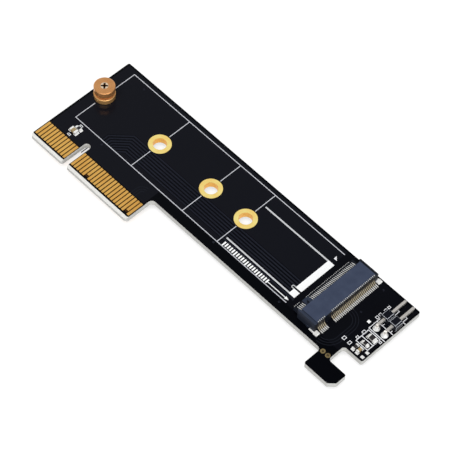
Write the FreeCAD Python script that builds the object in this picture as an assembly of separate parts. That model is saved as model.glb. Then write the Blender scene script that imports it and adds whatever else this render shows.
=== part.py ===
import FreeCAD, Part
import math
import os

# Adapter card that carries a key-M solid-state drive and plugs into a four-lane expansion slot.
# It lies flat with its component side up.
#
# Working datum, used by every value below:
#   X = 0  drive edge when fully seated in its connector; the drive lies towards -X
#   Y = 0  centreline of the drive; the slot contacts are towards -Y
#   Z = 0  component face of the board
# write_parts() then shifts everything so that the origin is under the middle of the card.

V = FreeCAD.Vector
NEAR_ZERO = 1e-6

# ---- board -----------------------------------------------------------------------------------
BOARD_T = 1.6               # laminate thickness
BOARD_LEFT = -83.6          # end of the board under the standoff
BOARD_RIGHT = 16.4          # end of the board behind the drive connector
BOARD_FAR = 11.5            # long edge away from the slot
BOARD_NEAR = -12.5          # long edge on the slot side
BOARD_CORNER_R = 0.5

# ---- slot tongue -----------------------------------------------------------------------------
FINGER_PITCH = 1.0
FINGERS_BEFORE_KEY = 11
FINGERS_AFTER_KEY = 21
KEY_STEP = 3.0              # first finger after the key, from the last one before it
KEY_W = 1.9
KEY_DEPTH = 8.4
FINGER_EDGE = 0.65          # tongue side to first finger centre
TONGUE_TIP = -21.1
TONGUE_CORNER_R = 0.8
TONGUE_ROOT_R = 1.2
BEVEL_RUN = 0.9
BEVEL_ANGLE = 20.0
FINGER_W = 0.7
FINGER_START = -15.2
FINGER_END = -19.9
SHORT_FINGER_END = -19.0
SHORT_FRONT = (17, 31)      # presence-detect fingers on the component side
SHORT_BACK = (1,)           # and on the solder side

# ---- retention hook --------------------------------------------------------------------------
HOOK_INSET = 8.9            # hook's leg, from the right end of the board
HOOK_LEG_W = 3.2
HOOK_BOTTOM = -18.0
HOOK_FOOT_TOP = -13.3
HOOK_GAP_TOP = -8.15        # board edge above the latch gap
HOOK_CHAMFER = 1.5
HOOK_INNER_R = 0.9
HOOK_ROOT_R = 1.0
HOOK_TIP_R = 0.4

# ---- copper on the board ---------------------------------------------------------------------
PLATE_T = 0.05              # thickness of plated rings and fingers
MODULE_HOLES = {"2230": -30.0, "2242": -42.0, "2260": -60.0, "2280": -80.0}
MODULE_HOLE_R = 1.75
MODULE_PAD_R = 2.9
VIA_R = 0.3
VIA_PAD_R = 0.65
VIA_Y = -12.65
VIA_PITCH = 1.6
PAD_T = 0.04

# ---- standoff, its screw and nut -------------------------------------------------------------
DRIVE_SEAT_H = 1.6          # underside of the drive above the board
POST_R = 2.75
POST_CHAMFER = 0.15
NECK_R = 1.65               # passes the half-round notch in the drive
NECK_H = 0.9
STUD_R = 1.45
NUT_FLATS = 5.5
NUT_T = 1.8
NUT_CHAMFER = 0.25
STUD_PROUD = 0.3
SCREW_HEAD_R = 2.7
SCREW_HEAD_H = 1.75
SCREW_R = 0.95
SCREW_L = 2.6
THREAD_FIT = 0.05           # radial clearance left where a thread would engage
RECESS_SPAN = 1.9
RECESS_SLOT_W = 0.5
RECESS_DEPTH = 0.9
RECESS_TAPER = 0.55         # span at the bottom over span at the top

# ---- drive connector -------------------------------------------------------------------------
HOUSING_HALF = 10.6
HOUSING_REAR = 3.4
HOUSING_FRONT = -1.75
CHEEK_FRONT = -2.35
CHEEK_WALL = 0.63           # end wall beside the drive slot
CHEEK_R = 0.45
TOP_H = 3.2
TOP_INSET = 0.95            # raised top, from each end of the housing
SHOULDER_H = 2.95
LIP_FRONT = -4.1
LIP_BAR = 0.35
LIP_INSET = 0.85
LIP_H = 1.25
LIP_PASSAGE = 0.35          # height of the opening for each foot under the lip's bar
SLOT_FLOOR = 1.4
SLOT_CEILING = 2.48
SLOT_STOP = 0.3             # back wall of the drive slot
LEAD_IN = 0.35
KEY_RIB_Y = -6.125
KEY_RIB_W = 1.0
KEY_RIB_FRONT = -3.2
CONTACT_PITCH = 0.5
ROW_INSET = 1.35            # outermost rear contact, from the end of the housing
KEY_CLEAR = 1.0             # no contact is this close to the middle of the key rib
CONTACT_W = 0.2
CONTACT_T = 0.15
CONTACT_FIT = 0.03          # contact to the side of its channel
CHANNEL_TOP = 2.9
CHANNEL_BITE = 0.1          # how far a channel opens into the drive slot
REAR_CHANNEL = 0.4
FRONT_TAIL = 0.45           # front feet, beyond the lip
FRONT_HEEL = 0.25           # bend of the front contacts, short of the slot's back wall
FRONT_BEND_RUN = 0.4
FRONT_BEND_TOP = 0.8
FRONT_PEAK = 1.45           # highest point of the front springs, behind the lip's face
FRONT_NOSE = 0.8
PEAK_RISE = 0.02            # that point, over the slot's floor
NOSE_DROP = 0.28
REAR_TAIL = 1.35            # rear feet, beyond the housing
REAR_FOOT_L = 0.8
REAR_KNEE = (0.8, 1.2)      # heights between which the rear contacts straighten up
ROOF_GAP = 0.1              # rear contacts, below the top of their channels
REAR_SPRING_ROOT = 2.35     # where the rear springs bend down, behind the housing's face
REAR_DIP = 0.7
REAR_NOSE = 0.25
DIP_DROP = 0.15             # lowest point of the rear springs, below the slot's ceiling
NOSE_RISE = 0.04
PEG_R = (0.75, 0.5)         # near and far locating pegs, different so it fits one way round
PEG_X = 1.2
PEG_INSET = 0.6
PEG_L = 1.2
PEG_FIT = 0.05
TAB_REACH = 0.35            # solder tabs, beyond the ends of the housing
TAB_INSET = 0.8
TAB_FRONT = 1.45            # solder tabs, ahead of the housing's rear face
TAB_REAR = 1.05
TAB_T = 0.2
TAB_FIT = 0.03
TAB_LEG_H = 1.3
TAB_LEG_W = 1.0
TAB_LEG_DEPTH = 0.3         # how far the upright leg sits in the end of the housing
REAR_PAD_L = 1.05
PAD_BORDER = 0.15           # bare pad left showing beyond a foot
PAD_TO_LIP = 0.02

# ---- two-pin angled header -------------------------------------------------------------------
HEADER_PITCH = 2.54
HEADER_INSET = 3.95         # first pin, from the right end of the board
HEADER_Y0 = 3.2
HEADER_Y1 = 5.5
HEADER_H = 2.4
HEADER_CHAMFER = 0.4
PIN_W = 0.64
PIN_Z = 1.25
PIN_TIP_Y = 10.75
PIN_POINT = 0.4
PIN_LEG_Y = 0.8
PIN_BEND_R = 0.75           # outside radius of the bend
PIN_FIT = 0.02
PIN_BELOW = 1.1             # how far the legs stand out under the board
PIN_HOLE_R = 0.5
PIN_PAD_R = 0.9
SOLDER_WAIST_R = 0.65
SOLDER_TIP_R = 0.5
SOLDER_H = 0.85

# ---- chip parts: centre x, y, length, width, height, end-cap length, axis ---------------------
SLOT_PARTS_X = BOARD_LEFT + 6.6     # the pair above the tongue
PARTS_X = BOARD_RIGHT - 2.8         # the group at the right end
CHIPS = {
    "slot_capacitor": (SLOT_PARTS_X, -12.85, 2.0, 1.25, 0.85, 0.5, "x"),
    "slot_resistor": (SLOT_PARTS_X + 0.25, -11.45, 1.6, 0.8, 0.45, 0.35, "x"),
    "power_resistor": (PARTS_X + 0.1, -2.0, 2.0, 1.25, 0.55, 0.4, "x"),
    "signal_resistor": (PARTS_X, -4.2, 1.6, 0.8, 0.45, 0.35, "x"),
    "bypass_resistor": (PARTS_X - 0.95, -6.45, 1.6, 0.8, 0.45, 0.3, "y"),
    "bypass_capacitor": (PARTS_X + 0.4, -6.45, 1.6, 0.8, 0.8, 0.35, "y"),
}
CAP_WALL = 0.06             # end-cap plating over the ceramic
CHIP_EDGE = 0.05
SOLDER_RUN = 0.3            # fillet length beyond each end cap
SOLDER_RISE = 0.75          # fillet height over chip height
SOLDER_DIP = 0.1            # depth of the concave face over its length
PAD_UNDER = 0.05            # pad reaches this far past the fillet
BARE_PADS = ((PARTS_X + 2.0, -5.55), (PARTS_X + 2.0, -7.15))
BARE_PAD_SIZE = (0.85, 0.75)

# ---- white print -----------------------------------------------------------------------------
INK_T = 0.03
INK_LINE = 0.2
INK_BOLD = 0.4
INK_CLEAR = 0.25            # ink stops this far from copper
FRAME_FAR = 10.0
FRAME_NEAR = -9.55
FRAME_RIGHT = -6.8
DRIVE_LEFT = -29.0
DRIVE_FAR = 5.9
DRIVE_NEAR = -7.1
BAR_LEFT = -8.2
BAR_RIGHT = -6.35
NOTCH_Y = -5.2
NOTCH_GAP = 0.5
NOTCH_REACH = 0.75
ARROW_Y = -8.7
ARROW_TAIL = -13.7
ARROW_NECK = -7.9
ARROW_TIP = -6.8
ARROW_HALF = 0.4
PIN_MARK = (-7.3, 7.85, 1.0)
POWER_BOX = (2.2, 1.15)     # outline of the power part: left of its centre, and half its width
BOX_W = 3.65
SIGNAL_BOX_HALF = 0.8
HEADER_BOX_NEAR = -0.4      # box drawn round the header's soldered legs
HEADER_BOX_FAR = 2.3
HEADER_BODY = (2.9, 6.5)    # where the drawing of the pins meets that of the insulator
PIN_DRAWN_HALF = 0.45
PIN_DRAWN_END = 8.0


# ---- values worked out from the ones above ---------------------------------------------------
BOARD_BACK = -BOARD_T
FIRST_FINGER = BOARD_LEFT + FINGER_EDGE
LAST_BEFORE_KEY = FIRST_FINGER + (FINGERS_BEFORE_KEY - 1) * FINGER_PITCH
FIRST_AFTER_KEY = LAST_BEFORE_KEY + KEY_STEP
LAST_FINGER = FIRST_AFTER_KEY + (FINGERS_AFTER_KEY - 1) * FINGER_PITCH
TONGUE_RIGHT = LAST_FINGER + FINGER_EDGE
KEY_X = (LAST_BEFORE_KEY + FIRST_AFTER_KEY) / 2
KEY_TOP = TONGUE_TIP + KEY_DEPTH
HOOK_LEG_LEFT = BOARD_RIGHT - HOOK_INSET
HOOK_LEG_RIGHT = HOOK_LEG_LEFT + HOOK_LEG_W
VIA_X = HOOK_LEG_LEFT + (HOOK_LEG_W - VIA_PITCH) / 2
HEADER_X = BOARD_RIGHT - HEADER_INSET
HEADER_PINS = (HEADER_X, HEADER_X + HEADER_PITCH)
NUT_BOTTOM = BOARD_BACK - PLATE_T - NUT_T
STUD_BOTTOM = NUT_BOTTOM - STUD_PROUD
POST_BASE = PLATE_T
NECK_TOP = DRIVE_SEAT_H + NECK_H
SLOT_HALF = HOUSING_HALF - CHEEK_WALL
TOP_HALF = HOUSING_HALF - TOP_INSET
LIP_HALF = HOUSING_HALF - LIP_INSET
PEG_Y = HOUSING_HALF - PEG_INSET
TAB_OUTER = HOUSING_HALF + TAB_REACH
TAB_INNER = HOUSING_HALF - TAB_INSET
TAB_X0 = HOUSING_REAR - TAB_FRONT
TAB_X1 = HOUSING_REAR + TAB_REAR
REAR_FOOT_END = HOUSING_REAR + REAR_TAIL
FRONT_FOOT_END = LIP_FRONT - FRONT_TAIL
CHANNEL_W = CONTACT_W + 2 * CONTACT_FIT
FOOT_Z = PAD_T + CONTACT_T / 2


# ---- shapes used by several pieces -----------------------------------------------------------
def box(x0, x1, y0, y1, z0, z1):
    """Block between two corners."""
    return Part.makeBox(x1 - x0, y1 - y0, z1 - z0, V(x0, y0, z0))


def cylinder(x, y, radius, z0, z1):
    return Part.makeCylinder(radius, z1 - z0, V(x, y, z0))


def rounded_wire(corners):
    """Closed outline through (x, y, radius) corners, each rounded by a tangent arc."""
    edges = []
    ends = []
    count = len(corners)
    for i, (x, y, radius) in enumerate(corners):
        here = V(x, y, 0)
        before = V(corners[i - 1][0], corners[i - 1][1], 0)
        after = V(corners[(i + 1) % count][0], corners[(i + 1) % count][1], 0)
        if radius <= 0:
            ends.append((here, None, here))
            continue
        a = (before - here).normalize()
        b = (after - here).normalize()
        half = math.acos(max(-1.0, min(1.0, a.dot(b)))) / 2
        tangent = radius / math.tan(half)
        middle = here + (a + b).normalize() * (radius / math.sin(half) - radius)
        ends.append((here + a * tangent, middle, here + b * tangent))
    for i, (start, middle, stop) in enumerate(ends):
        if middle is not None:
            edges.append(Part.Arc(start, middle, stop).toShape())
        edges.append(Part.LineSegment(stop, ends[(i + 1) % count][0]).toShape())
    return Part.Wire(edges)


def plate(corners, z0, z1):
    """Flat sheet with a rounded outline."""
    face = Part.Face(rounded_wire(corners))
    face.translate(V(0, 0, z0))
    return face.extrude(V(0, 0, z1 - z0))


def turned(x, y, profile):
    """Solid of revolution about a vertical axis from (radius, z) points."""
    points = [V(radius, 0, z) for radius, z in profile]
    face = Part.Face(Part.makePolygon(points + points[:1]))
    solid = face.revolve(V(0, 0, 0), V(0, 0, 1), 360)
    solid.translate(V(x, y, 0))
    return solid


def strip_outline(path, thickness):
    """Corners of a bent strip of constant thickness along a centreline of (u, v) points."""
    left = []
    right = []
    last = len(path) - 1
    for i, (u, v) in enumerate(path):
        before = path[max(i - 1, 0)]
        after = path[min(i + 1, last)]
        a = V(u - before[0], v - before[1], 0)
        b = V(after[0] - u, after[1] - v, 0)
        a = b if i == 0 else a
        b = a if i == last else b
        a.normalize()
        b.normalize()
        side = V(-(a.y + b.y), a.x + b.x, 0).normalize()
        reach = thickness / 2 / side.dot(V(-a.y, a.x, 0))
        left.append((u + side.x * reach, v + side.y * reach))
        right.append((u - side.x * reach, v - side.y * reach))
    return left + right[::-1]


def bent_strip(path, thickness, y, width):
    """Strip formed in the XZ plane and cut to a width about y."""
    points = [V(u, y - width / 2, v) for u, v in strip_outline(path, thickness)]
    face = Part.Face(Part.makePolygon(points + points[:1]))
    return face.extrude(V(0, width, 0))


def plated_rings(x, y, hole_r, pad_r):
    """Ring round a hole on each face of the board; the drilled wall is the finished wall."""
    rings = []
    for z in (0, BOARD_BACK - PLATE_T):
        disc = cylinder(x, y, pad_r, z, z + PLATE_T)
        rings.append(disc.cut(cylinder(x, y, hole_r, z - 1, z + 1)))
    return rings


def contact_row(count):
    """Y of each contact of a row centred on the housing, less those that the key rib displaces."""
    first = (count - 1) * CONTACT_PITCH / 2
    row = [first - i * CONTACT_PITCH for i in range(count)]
    return [y for y in row if abs(y - KEY_RIB_Y) > KEY_CLEAR]


REAR_COUNT = int(2 * (HOUSING_HALF - ROW_INSET) / CONTACT_PITCH + NEAR_ZERO) + 1
REAR_ROW = contact_row(REAR_COUNT)
FRONT_ROW = contact_row(REAR_COUNT - 1)


# ---- board -----------------------------------------------------------------------------------
def board_outline():
    """Outline of the laminate, anticlockwise from the far left corner."""
    tongue_r = TONGUE_CORNER_R
    key_left = KEY_X - KEY_W / 2
    key_right = KEY_X + KEY_W / 2
    return [
        (BOARD_LEFT, BOARD_FAR, BOARD_CORNER_R),
        (BOARD_LEFT, TONGUE_TIP, tongue_r),
        (key_left, TONGUE_TIP, tongue_r / 2),
        (key_left, KEY_TOP, KEY_W / 2 - 0.01),
        (key_right, KEY_TOP, KEY_W / 2 - 0.01),
        (key_right, TONGUE_TIP, tongue_r / 2),
        (TONGUE_RIGHT, TONGUE_TIP, tongue_r),
        (TONGUE_RIGHT, BOARD_NEAR, TONGUE_ROOT_R),
        (HOOK_LEG_LEFT, BOARD_NEAR, HOOK_ROOT_R),
        (HOOK_LEG_LEFT, HOOK_BOTTOM, BOARD_CORNER_R),
        (BOARD_RIGHT - HOOK_CHAMFER, HOOK_BOTTOM, HOOK_TIP_R),
        (BOARD_RIGHT, HOOK_BOTTOM + HOOK_CHAMFER, HOOK_TIP_R),
        (BOARD_RIGHT, HOOK_FOOT_TOP, HOOK_TIP_R),
        (HOOK_LEG_RIGHT, HOOK_FOOT_TOP, HOOK_INNER_R),
        (HOOK_LEG_RIGHT, HOOK_GAP_TOP, HOOK_INNER_R),
        (BOARD_RIGHT, HOOK_GAP_TOP, HOOK_TIP_R),
        (BOARD_RIGHT, BOARD_FAR, BOARD_CORNER_R),
    ]


def bevel_cut(face_z, outward):
    """Wedge that bevels one face of the tongue's tip so that it enters the slot."""
    drop = BEVEL_RUN * math.tan(math.radians(BEVEL_ANGLE))
    x0 = BOARD_LEFT - 1
    points = [
        V(x0, TONGUE_TIP + BEVEL_RUN, face_z),
        V(x0, TONGUE_TIP - BEVEL_RUN, face_z - outward * 2 * drop),
        V(x0, TONGUE_TIP - BEVEL_RUN, face_z),
    ]
    face = Part.Face(Part.makePolygon(points + points[:1]))
    return face.extrude(V(TONGUE_RIGHT - BOARD_LEFT + 2, 0, 0))


def board_holes():
    """Drilled holes: module positions, hook vias, header legs and connector pegs."""
    z0 = BOARD_BACK - 1
    holes = []
    for x in MODULE_HOLES.values():
        holes.append(cylinder(x, 0, MODULE_HOLE_R, z0, 1))
    for i in range(2):
        holes.append(cylinder(VIA_X + i * VIA_PITCH, VIA_Y, VIA_R, z0, 1))
    for x in HEADER_PINS:
        holes.append(cylinder(x, PIN_LEG_Y, PIN_HOLE_R, z0, 1))
    for side, radius in zip((-1, 1), PEG_R):
        holes.append(cylinder(PEG_X, side * PEG_Y, radius + PEG_FIT, z0, 1))
    return holes


def circuit_board():
    board = plate(board_outline(), BOARD_BACK, 0)
    cuts = [bevel_cut(0, 1), bevel_cut(BOARD_BACK, -1)] + board_holes()
    return board.cut(cuts)


def edge_contacts(short, z0):
    """Gold fingers of one side of the tongue; the presence fingers stop early."""
    fingers = []
    for number in range(1, FINGERS_BEFORE_KEY + FINGERS_AFTER_KEY + 1):
        x = FIRST_FINGER + (number - 1) * FINGER_PITCH
        if number > FINGERS_BEFORE_KEY:
            x = FIRST_AFTER_KEY + (number - 1 - FINGERS_BEFORE_KEY) * FINGER_PITCH
        end = SHORT_FINGER_END if number in short else FINGER_END
        fingers.append(box(x - FINGER_W / 2, x + FINGER_W / 2, end, FINGER_START, z0, z0 + PLATE_T))
    return fingers


def hook_vias():
    near, far = [plated_rings(VIA_X + i * VIA_PITCH, VIA_Y, VIA_R, VIA_PAD_R) for i in range(2)]
    return near + far


# ---- standoff --------------------------------------------------------------------------------
def standoff_post(x):
    """Turned brass post: flange that seats the drive, neck for its notch, stud for the nut."""
    bore = SCREW_R + THREAD_FIT
    bore_bottom = NECK_TOP - SCREW_L - THREAD_FIT
    profile = [
        (0, STUD_BOTTOM),
        (STUD_R - POST_CHAMFER, STUD_BOTTOM),
        (STUD_R, STUD_BOTTOM + POST_CHAMFER),
        (STUD_R, POST_BASE),
        (POST_R - POST_CHAMFER, POST_BASE),
        (POST_R, POST_BASE + POST_CHAMFER),
        (POST_R, DRIVE_SEAT_H - POST_CHAMFER),
        (POST_R - POST_CHAMFER, DRIVE_SEAT_H),
        (NECK_R, DRIVE_SEAT_H),
        (NECK_R, NECK_TOP),
        (bore, NECK_TOP),
        (bore, bore_bottom),
        (0, bore_bottom),
    ]
    return turned(x, 0, profile)


def cross_recess(x, z):
    """Two crossing slots that narrow towards the bottom, cut in a screw head at height z."""
    slots = []
    for turn in (0, 90):
        wires = []
        for depth, scale in ((0, 1.0), (RECESS_DEPTH, RECESS_TAPER)):
            half = RECESS_SPAN * scale / 2
            width = RECESS_SLOT_W * scale / 2
            corners = [V(-half, -width, 0), V(half, -width, 0), V(half, width, 0), V(-half, width, 0)]
            wire = Part.makePolygon(corners + corners[:1])
            wire.translate(V(0, 0, z - depth))
            wires.append(wire)
        slot = Part.makeLoft(wires, True)
        slot.rotate(V(0, 0, 0), V(0, 0, 1), turn)
        slots.append(slot)
    recess = slots[0].fuse(slots[1])
    recess.rotate(V(0, 0, 0), V(0, 0, 1), 45)
    recess.translate(V(x, 0, 0))
    return recess


def standoff_screw(x):
    """Low cheese-head screw whose head clamps the drive's end on the post."""
    head_top = NECK_TOP + SCREW_HEAD_H
    profile = [
        (0, NECK_TOP - SCREW_L),
        (SCREW_R - POST_CHAMFER, NECK_TOP - SCREW_L),
        (SCREW_R, NECK_TOP - SCREW_L + POST_CHAMFER),
        (SCREW_R, NECK_TOP),
        (SCREW_HEAD_R - POST_CHAMFER, NECK_TOP),
        (SCREW_HEAD_R, NECK_TOP + POST_CHAMFER),
        (SCREW_HEAD_R, head_top - POST_CHAMFER),
        (SCREW_HEAD_R - POST_CHAMFER, head_top),
        (0, head_top),
    ]
    return turned(x, 0, profile).cut(cross_recess(x, head_top))


def standoff_nut(x):
    """Thin hexagon nut under the board, its corners chamfered on both faces."""
    radius = NUT_FLATS / 2 / math.cos(math.pi / 6)
    corners = [V(radius * math.cos(i * math.pi / 3), radius * math.sin(i * math.pi / 3), 0) for i in range(6)]
    hexagon = Part.Face(Part.makePolygon(corners + corners[:1])).extrude(V(0, 0, NUT_T))
    hexagon.translate(V(x, 0, NUT_BOTTOM))
    top = NUT_BOTTOM + NUT_T
    flat_r = NUT_FLATS / 2
    rim = [
        (0, NUT_BOTTOM),
        (flat_r, NUT_BOTTOM),
        (radius, NUT_BOTTOM + NUT_CHAMFER),
        (radius, top - NUT_CHAMFER),
        (flat_r, top),
        (0, top),
    ]
    bore = cylinder(x, 0, STUD_R + THREAD_FIT, NUT_BOTTOM - 1, top + 1)
    return hexagon.common(turned(x, 0, rim)).cut(bore)


# ---- drive connector -------------------------------------------------------------------------
def front_contact(y):
    """Front contact: solder foot, bend in the lip, and a spring that rises to the drive."""
    heel = SLOT_STOP - FRONT_HEEL
    path = [
        (FRONT_FOOT_END, FOOT_Z),
        (heel - FRONT_BEND_RUN, FOOT_Z),
        (heel, (FOOT_Z + FRONT_BEND_TOP) / 2),
        (heel - FRONT_BEND_RUN, FRONT_BEND_TOP),
        (LIP_FRONT + FRONT_PEAK, SLOT_FLOOR + PEAK_RISE),
        (LIP_FRONT + FRONT_NOSE, SLOT_FLOOR - NOSE_DROP),
    ]
    return bent_strip(path, CONTACT_T, y, CONTACT_W)


def rear_contact(y):
    """Rear contact: solder foot, riser in the rear channel, and a spring along the ceiling."""
    riser_x = HOUSING_REAR - REAR_CHANNEL / 2
    roof = CHANNEL_TOP - ROOF_GAP - CONTACT_T / 2
    path = [
        (REAR_FOOT_END, FOOT_Z),
        (REAR_FOOT_END - REAR_FOOT_L, FOOT_Z),
        (riser_x + CONTACT_T / 2, REAR_KNEE[0]),
        (riser_x, REAR_KNEE[1]),
        (riser_x, roof),
        (HOUSING_FRONT + REAR_SPRING_ROOT, roof),
        (HOUSING_FRONT + REAR_DIP, SLOT_CEILING - DIP_DROP),
        (HOUSING_FRONT + REAR_NOSE, SLOT_CEILING + NOSE_RISE),
    ]
    return bent_strip(path, CONTACT_T, y, CONTACT_W)


def housing_body():
    """Outer form: block, raised top, end cheeks, front lip and locating pegs."""
    body = box(HOUSING_FRONT, HOUSING_REAR, -HOUSING_HALF, HOUSING_HALF, 0, SHOULDER_H)
    cheeks = []
    for side in (-1, 1):
        y0, y1 = sorted((side * SLOT_HALF, side * HOUSING_HALF))
        cheeks.append(box(CHEEK_FRONT, HOUSING_FRONT, y0, y1, 0, SHOULDER_H))
    body = body.fuse(cheeks).removeSplitter()
    rounded = [edge for edge in body.Edges if is_outer_end_edge(edge)]
    body = body.makeFillet(CHEEK_R, rounded)
    top = box(HOUSING_FRONT, HOUSING_REAR, -TOP_HALF, TOP_HALF, SLOT_CEILING, TOP_H)
    lip = box(LIP_FRONT, HOUSING_FRONT, -LIP_HALF, LIP_HALF, 0, LIP_H)
    pegs = [cylinder(PEG_X, side * PEG_Y, r, -PEG_L, LIP_H / 2) for side, r in zip((-1, 1), PEG_R)]
    return body.fuse([top, lip] + pegs).removeSplitter()


def is_outer_end_edge(edge):
    """True for the long top edge and the front upright edge of each end."""
    bounds = edge.BoundBox
    at_end = abs(abs(bounds.Center.y) - HOUSING_HALF) < NEAR_ZERO and bounds.YLength < NEAR_ZERO
    along_top = abs(bounds.Center.z - SHOULDER_H) < NEAR_ZERO and bounds.ZLength < NEAR_ZERO
    front_upright = abs(bounds.Center.x - CHEEK_FRONT) < NEAR_ZERO and bounds.XLength < NEAR_ZERO
    return at_end and (along_top or front_upright)


def lead_in_cut():
    """Chamfer under the front of the top wall, so the drive enters at an angle."""
    points = [
        V(HOUSING_FRONT, -SLOT_HALF, SLOT_CEILING),
        V(HOUSING_FRONT + 2 * LEAD_IN, -SLOT_HALF, SLOT_CEILING),
        V(HOUSING_FRONT, -SLOT_HALF, SLOT_CEILING + LEAD_IN),
    ]
    face = Part.Face(Part.makePolygon(points + points[:1]))
    return face.extrude(V(0, 2 * SLOT_HALF, 0))


def tab_leg(side, fit):
    """Upright leg of a hold-down, also its pocket when a fit is given."""
    inner = HOUSING_HALF - TAB_LEG_DEPTH - fit
    outer = HOUSING_HALF - TAB_LEG_DEPTH + TAB_T + fit
    y0, y1 = sorted((side * inner, side * outer))
    return box(TAB_X0 - fit, TAB_X0 + TAB_LEG_W + fit, y0, y1, PAD_T - fit, TAB_LEG_H + fit)


def housing_cuts():
    """Drive slot, one channel for each contact, and the pockets for the hold-downs."""
    half = CHANNEL_W / 2
    cuts = [box(LIP_FRONT - 1, SLOT_STOP, -SLOT_HALF, SLOT_HALF, SLOT_FLOOR, SLOT_CEILING), lead_in_cut()]
    for y in FRONT_ROW:
        y0, y1 = y - half, y + half
        cuts.append(box(LIP_FRONT + LIP_BAR, SLOT_STOP, y0, y1, -1, SLOT_FLOOR + CHANNEL_BITE))
        cuts.append(box(LIP_FRONT - 1, LIP_FRONT + LIP_BAR, y0, y1, -1, LIP_PASSAGE))
    for y in REAR_ROW:
        y0, y1 = y - half, y + half
        cuts.append(box(HOUSING_REAR - REAR_CHANNEL, HOUSING_REAR + 1, y0, y1, -1, TOP_H + 1))
        cuts.append(box(HOUSING_FRONT - 1, HOUSING_REAR, y0, y1, SLOT_CEILING - CHANNEL_BITE, CHANNEL_TOP))
    for side in (-1, 1):
        cuts.append(tab_leg(side, TAB_FIT))
        y0, y1 = sorted((side * (HOUSING_HALF - TAB_LEG_DEPTH - TAB_FIT), side * (HOUSING_HALF + 1)))
        cuts.append(box(TAB_X0 - TAB_FIT, HOUSING_REAR + 1, y0, y1, -1, PAD_T + TAB_T + TAB_FIT))
    return cuts


def key_rib():
    """Rib with a round nose that fills the drive's key notch."""
    half = KEY_RIB_W / 2
    nose_x = KEY_RIB_FRONT + half
    rib = box(nose_x, SLOT_STOP + half, KEY_RIB_Y - half, KEY_RIB_Y + half, LIP_H / 2, SLOT_CEILING)
    nose = cylinder(nose_x, KEY_RIB_Y, half, LIP_H / 2, SLOT_CEILING)
    return rib.fuse(nose)


def connector_housing():
    body = housing_body().cut(housing_cuts())
    return body.fuse(key_rib()).removeSplitter()


def hold_down(side):
    """Solder tab at one end of the housing: a flat foot with an upright leg in a pocket."""
    y_leg = HOUSING_HALF - TAB_LEG_DEPTH
    y0, y1 = sorted((side * y_leg, side * TAB_OUTER))
    strip = box(TAB_X0, TAB_X1, y0, y1, PAD_T, PAD_T + TAB_T)
    y0, y1 = sorted((side * TAB_INNER, side * TAB_OUTER))
    foot = box(HOUSING_REAR + TAB_FIT, TAB_X1, y0, y1, PAD_T, PAD_T + TAB_T)
    return strip.fuse([foot, tab_leg(side, 0)]).removeSplitter()


# ---- angled header ---------------------------------------------------------------------------
def header_insulator():
    """Moulded block, one chamfered cell for each pin."""
    half = HEADER_PITCH / 2
    cells = []
    for x in HEADER_PINS:
        c = HEADER_CHAMFER
        profile = [
            (x - half, c), (x - half + c, 0), (x + half - c, 0), (x + half, c), (x + half, HEADER_H - c),
            (x + half - c, HEADER_H), (x - half + c, HEADER_H), (x - half, HEADER_H - c),
        ]
        points = [V(u, HEADER_Y0, v) for u, v in profile]
        cells.append(Part.Face(Part.makePolygon(points + points[:1])).extrude(V(0, HEADER_Y1 - HEADER_Y0, 0)))
    block = cells[0].fuse(cells[1:]).removeSplitter()
    hole = PIN_W / 2 + PIN_FIT
    y0, y1 = HEADER_Y0 - 1, HEADER_Y1 + 1
    return block.cut([box(x - hole, x + hole, y0, y1, PIN_Z - hole, PIN_Z + hole) for x in HEADER_PINS])


def header_pin(x):
    """Square pin, bent down into the board, with a blunt point at each end."""
    half = PIN_W / 2
    outer = PIN_BEND_R
    bottom = BOARD_BACK - PIN_BELOW
    far = PIN_TIP_Y - PIN_POINT
    low = bottom + PIN_POINT
    profile = [
        (PIN_LEG_Y - half, low, 0), (PIN_LEG_Y + half, low, 0),
        (PIN_LEG_Y + half, PIN_Z - half, outer - half), (far, PIN_Z - half, 0),
        (far, PIN_Z + half, 0), (PIN_LEG_Y - half, PIN_Z + half, outer),
    ]
    bar = Part.Face(rounded_wire(profile)).extrude(V(0, 0, PIN_W))
    # the profile was drawn in XY; stand it up so that u runs along Y and v along Z
    bar.rotate(V(0, 0, 0), V(1, 1, 1), 120)
    bar.translate(V(x - half, 0, 0))
    tip = pin_point(V(x, far, PIN_Z), V(0, 1, 0))
    foot = pin_point(V(x, PIN_LEG_Y, low), V(0, 0, -1))
    return bar.fuse([tip, foot]).removeSplitter()


def pin_point(base, direction):
    """Short four-sided taper that ends a square pin."""
    across = V(1, 0, 0)
    other = direction.cross(across)
    wires = []
    for reach, half in ((0, PIN_W / 2), (PIN_POINT, PIN_W / 4)):
        centre = base + direction * reach
        signs = ((-1, -1), (1, -1), (1, 1), (-1, 1))
        corners = [centre + across * (half * a) + other * (half * b) for a, b in signs]
        wires.append(Part.makePolygon(corners + corners[:1]))
    return Part.makeLoft(wires, True)


def header_rings():
    first, second = [plated_rings(x, PIN_LEG_Y, PIN_HOLE_R, PIN_PAD_R) for x in HEADER_PINS]
    return first + second


def header_solder(x):
    """Solder that fills the plated hole and rises round the leg on both faces."""
    hole = PIN_HOLE_R
    top = PLATE_T
    back = BOARD_BACK - PLATE_T
    profile = [
        (0, back - SOLDER_H),
        (SOLDER_TIP_R, back - SOLDER_H),
        (SOLDER_WAIST_R, back - SOLDER_H / 2),
        (PIN_PAD_R, back),
        (hole, back),
        (hole, top),
        (PIN_PAD_R, top),
        (SOLDER_WAIST_R, top + SOLDER_H / 2),
        (SOLDER_TIP_R, top + SOLDER_H),
        (0, top + SOLDER_H),
    ]
    return turned(x, PIN_LEG_Y, profile).cut(header_pin(x))


# ---- chip parts ------------------------------------------------------------------------------
def chip_frame(chip):
    """Placement that turns a chip drawn along X to its axis and centre."""
    x, y, axis = chip[0], chip[1], chip[6]
    turn = FreeCAD.Rotation(V(0, 0, 1), 90 if axis == "y" else 0)
    return FreeCAD.Placement(V(x, y, 0), turn)


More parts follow.
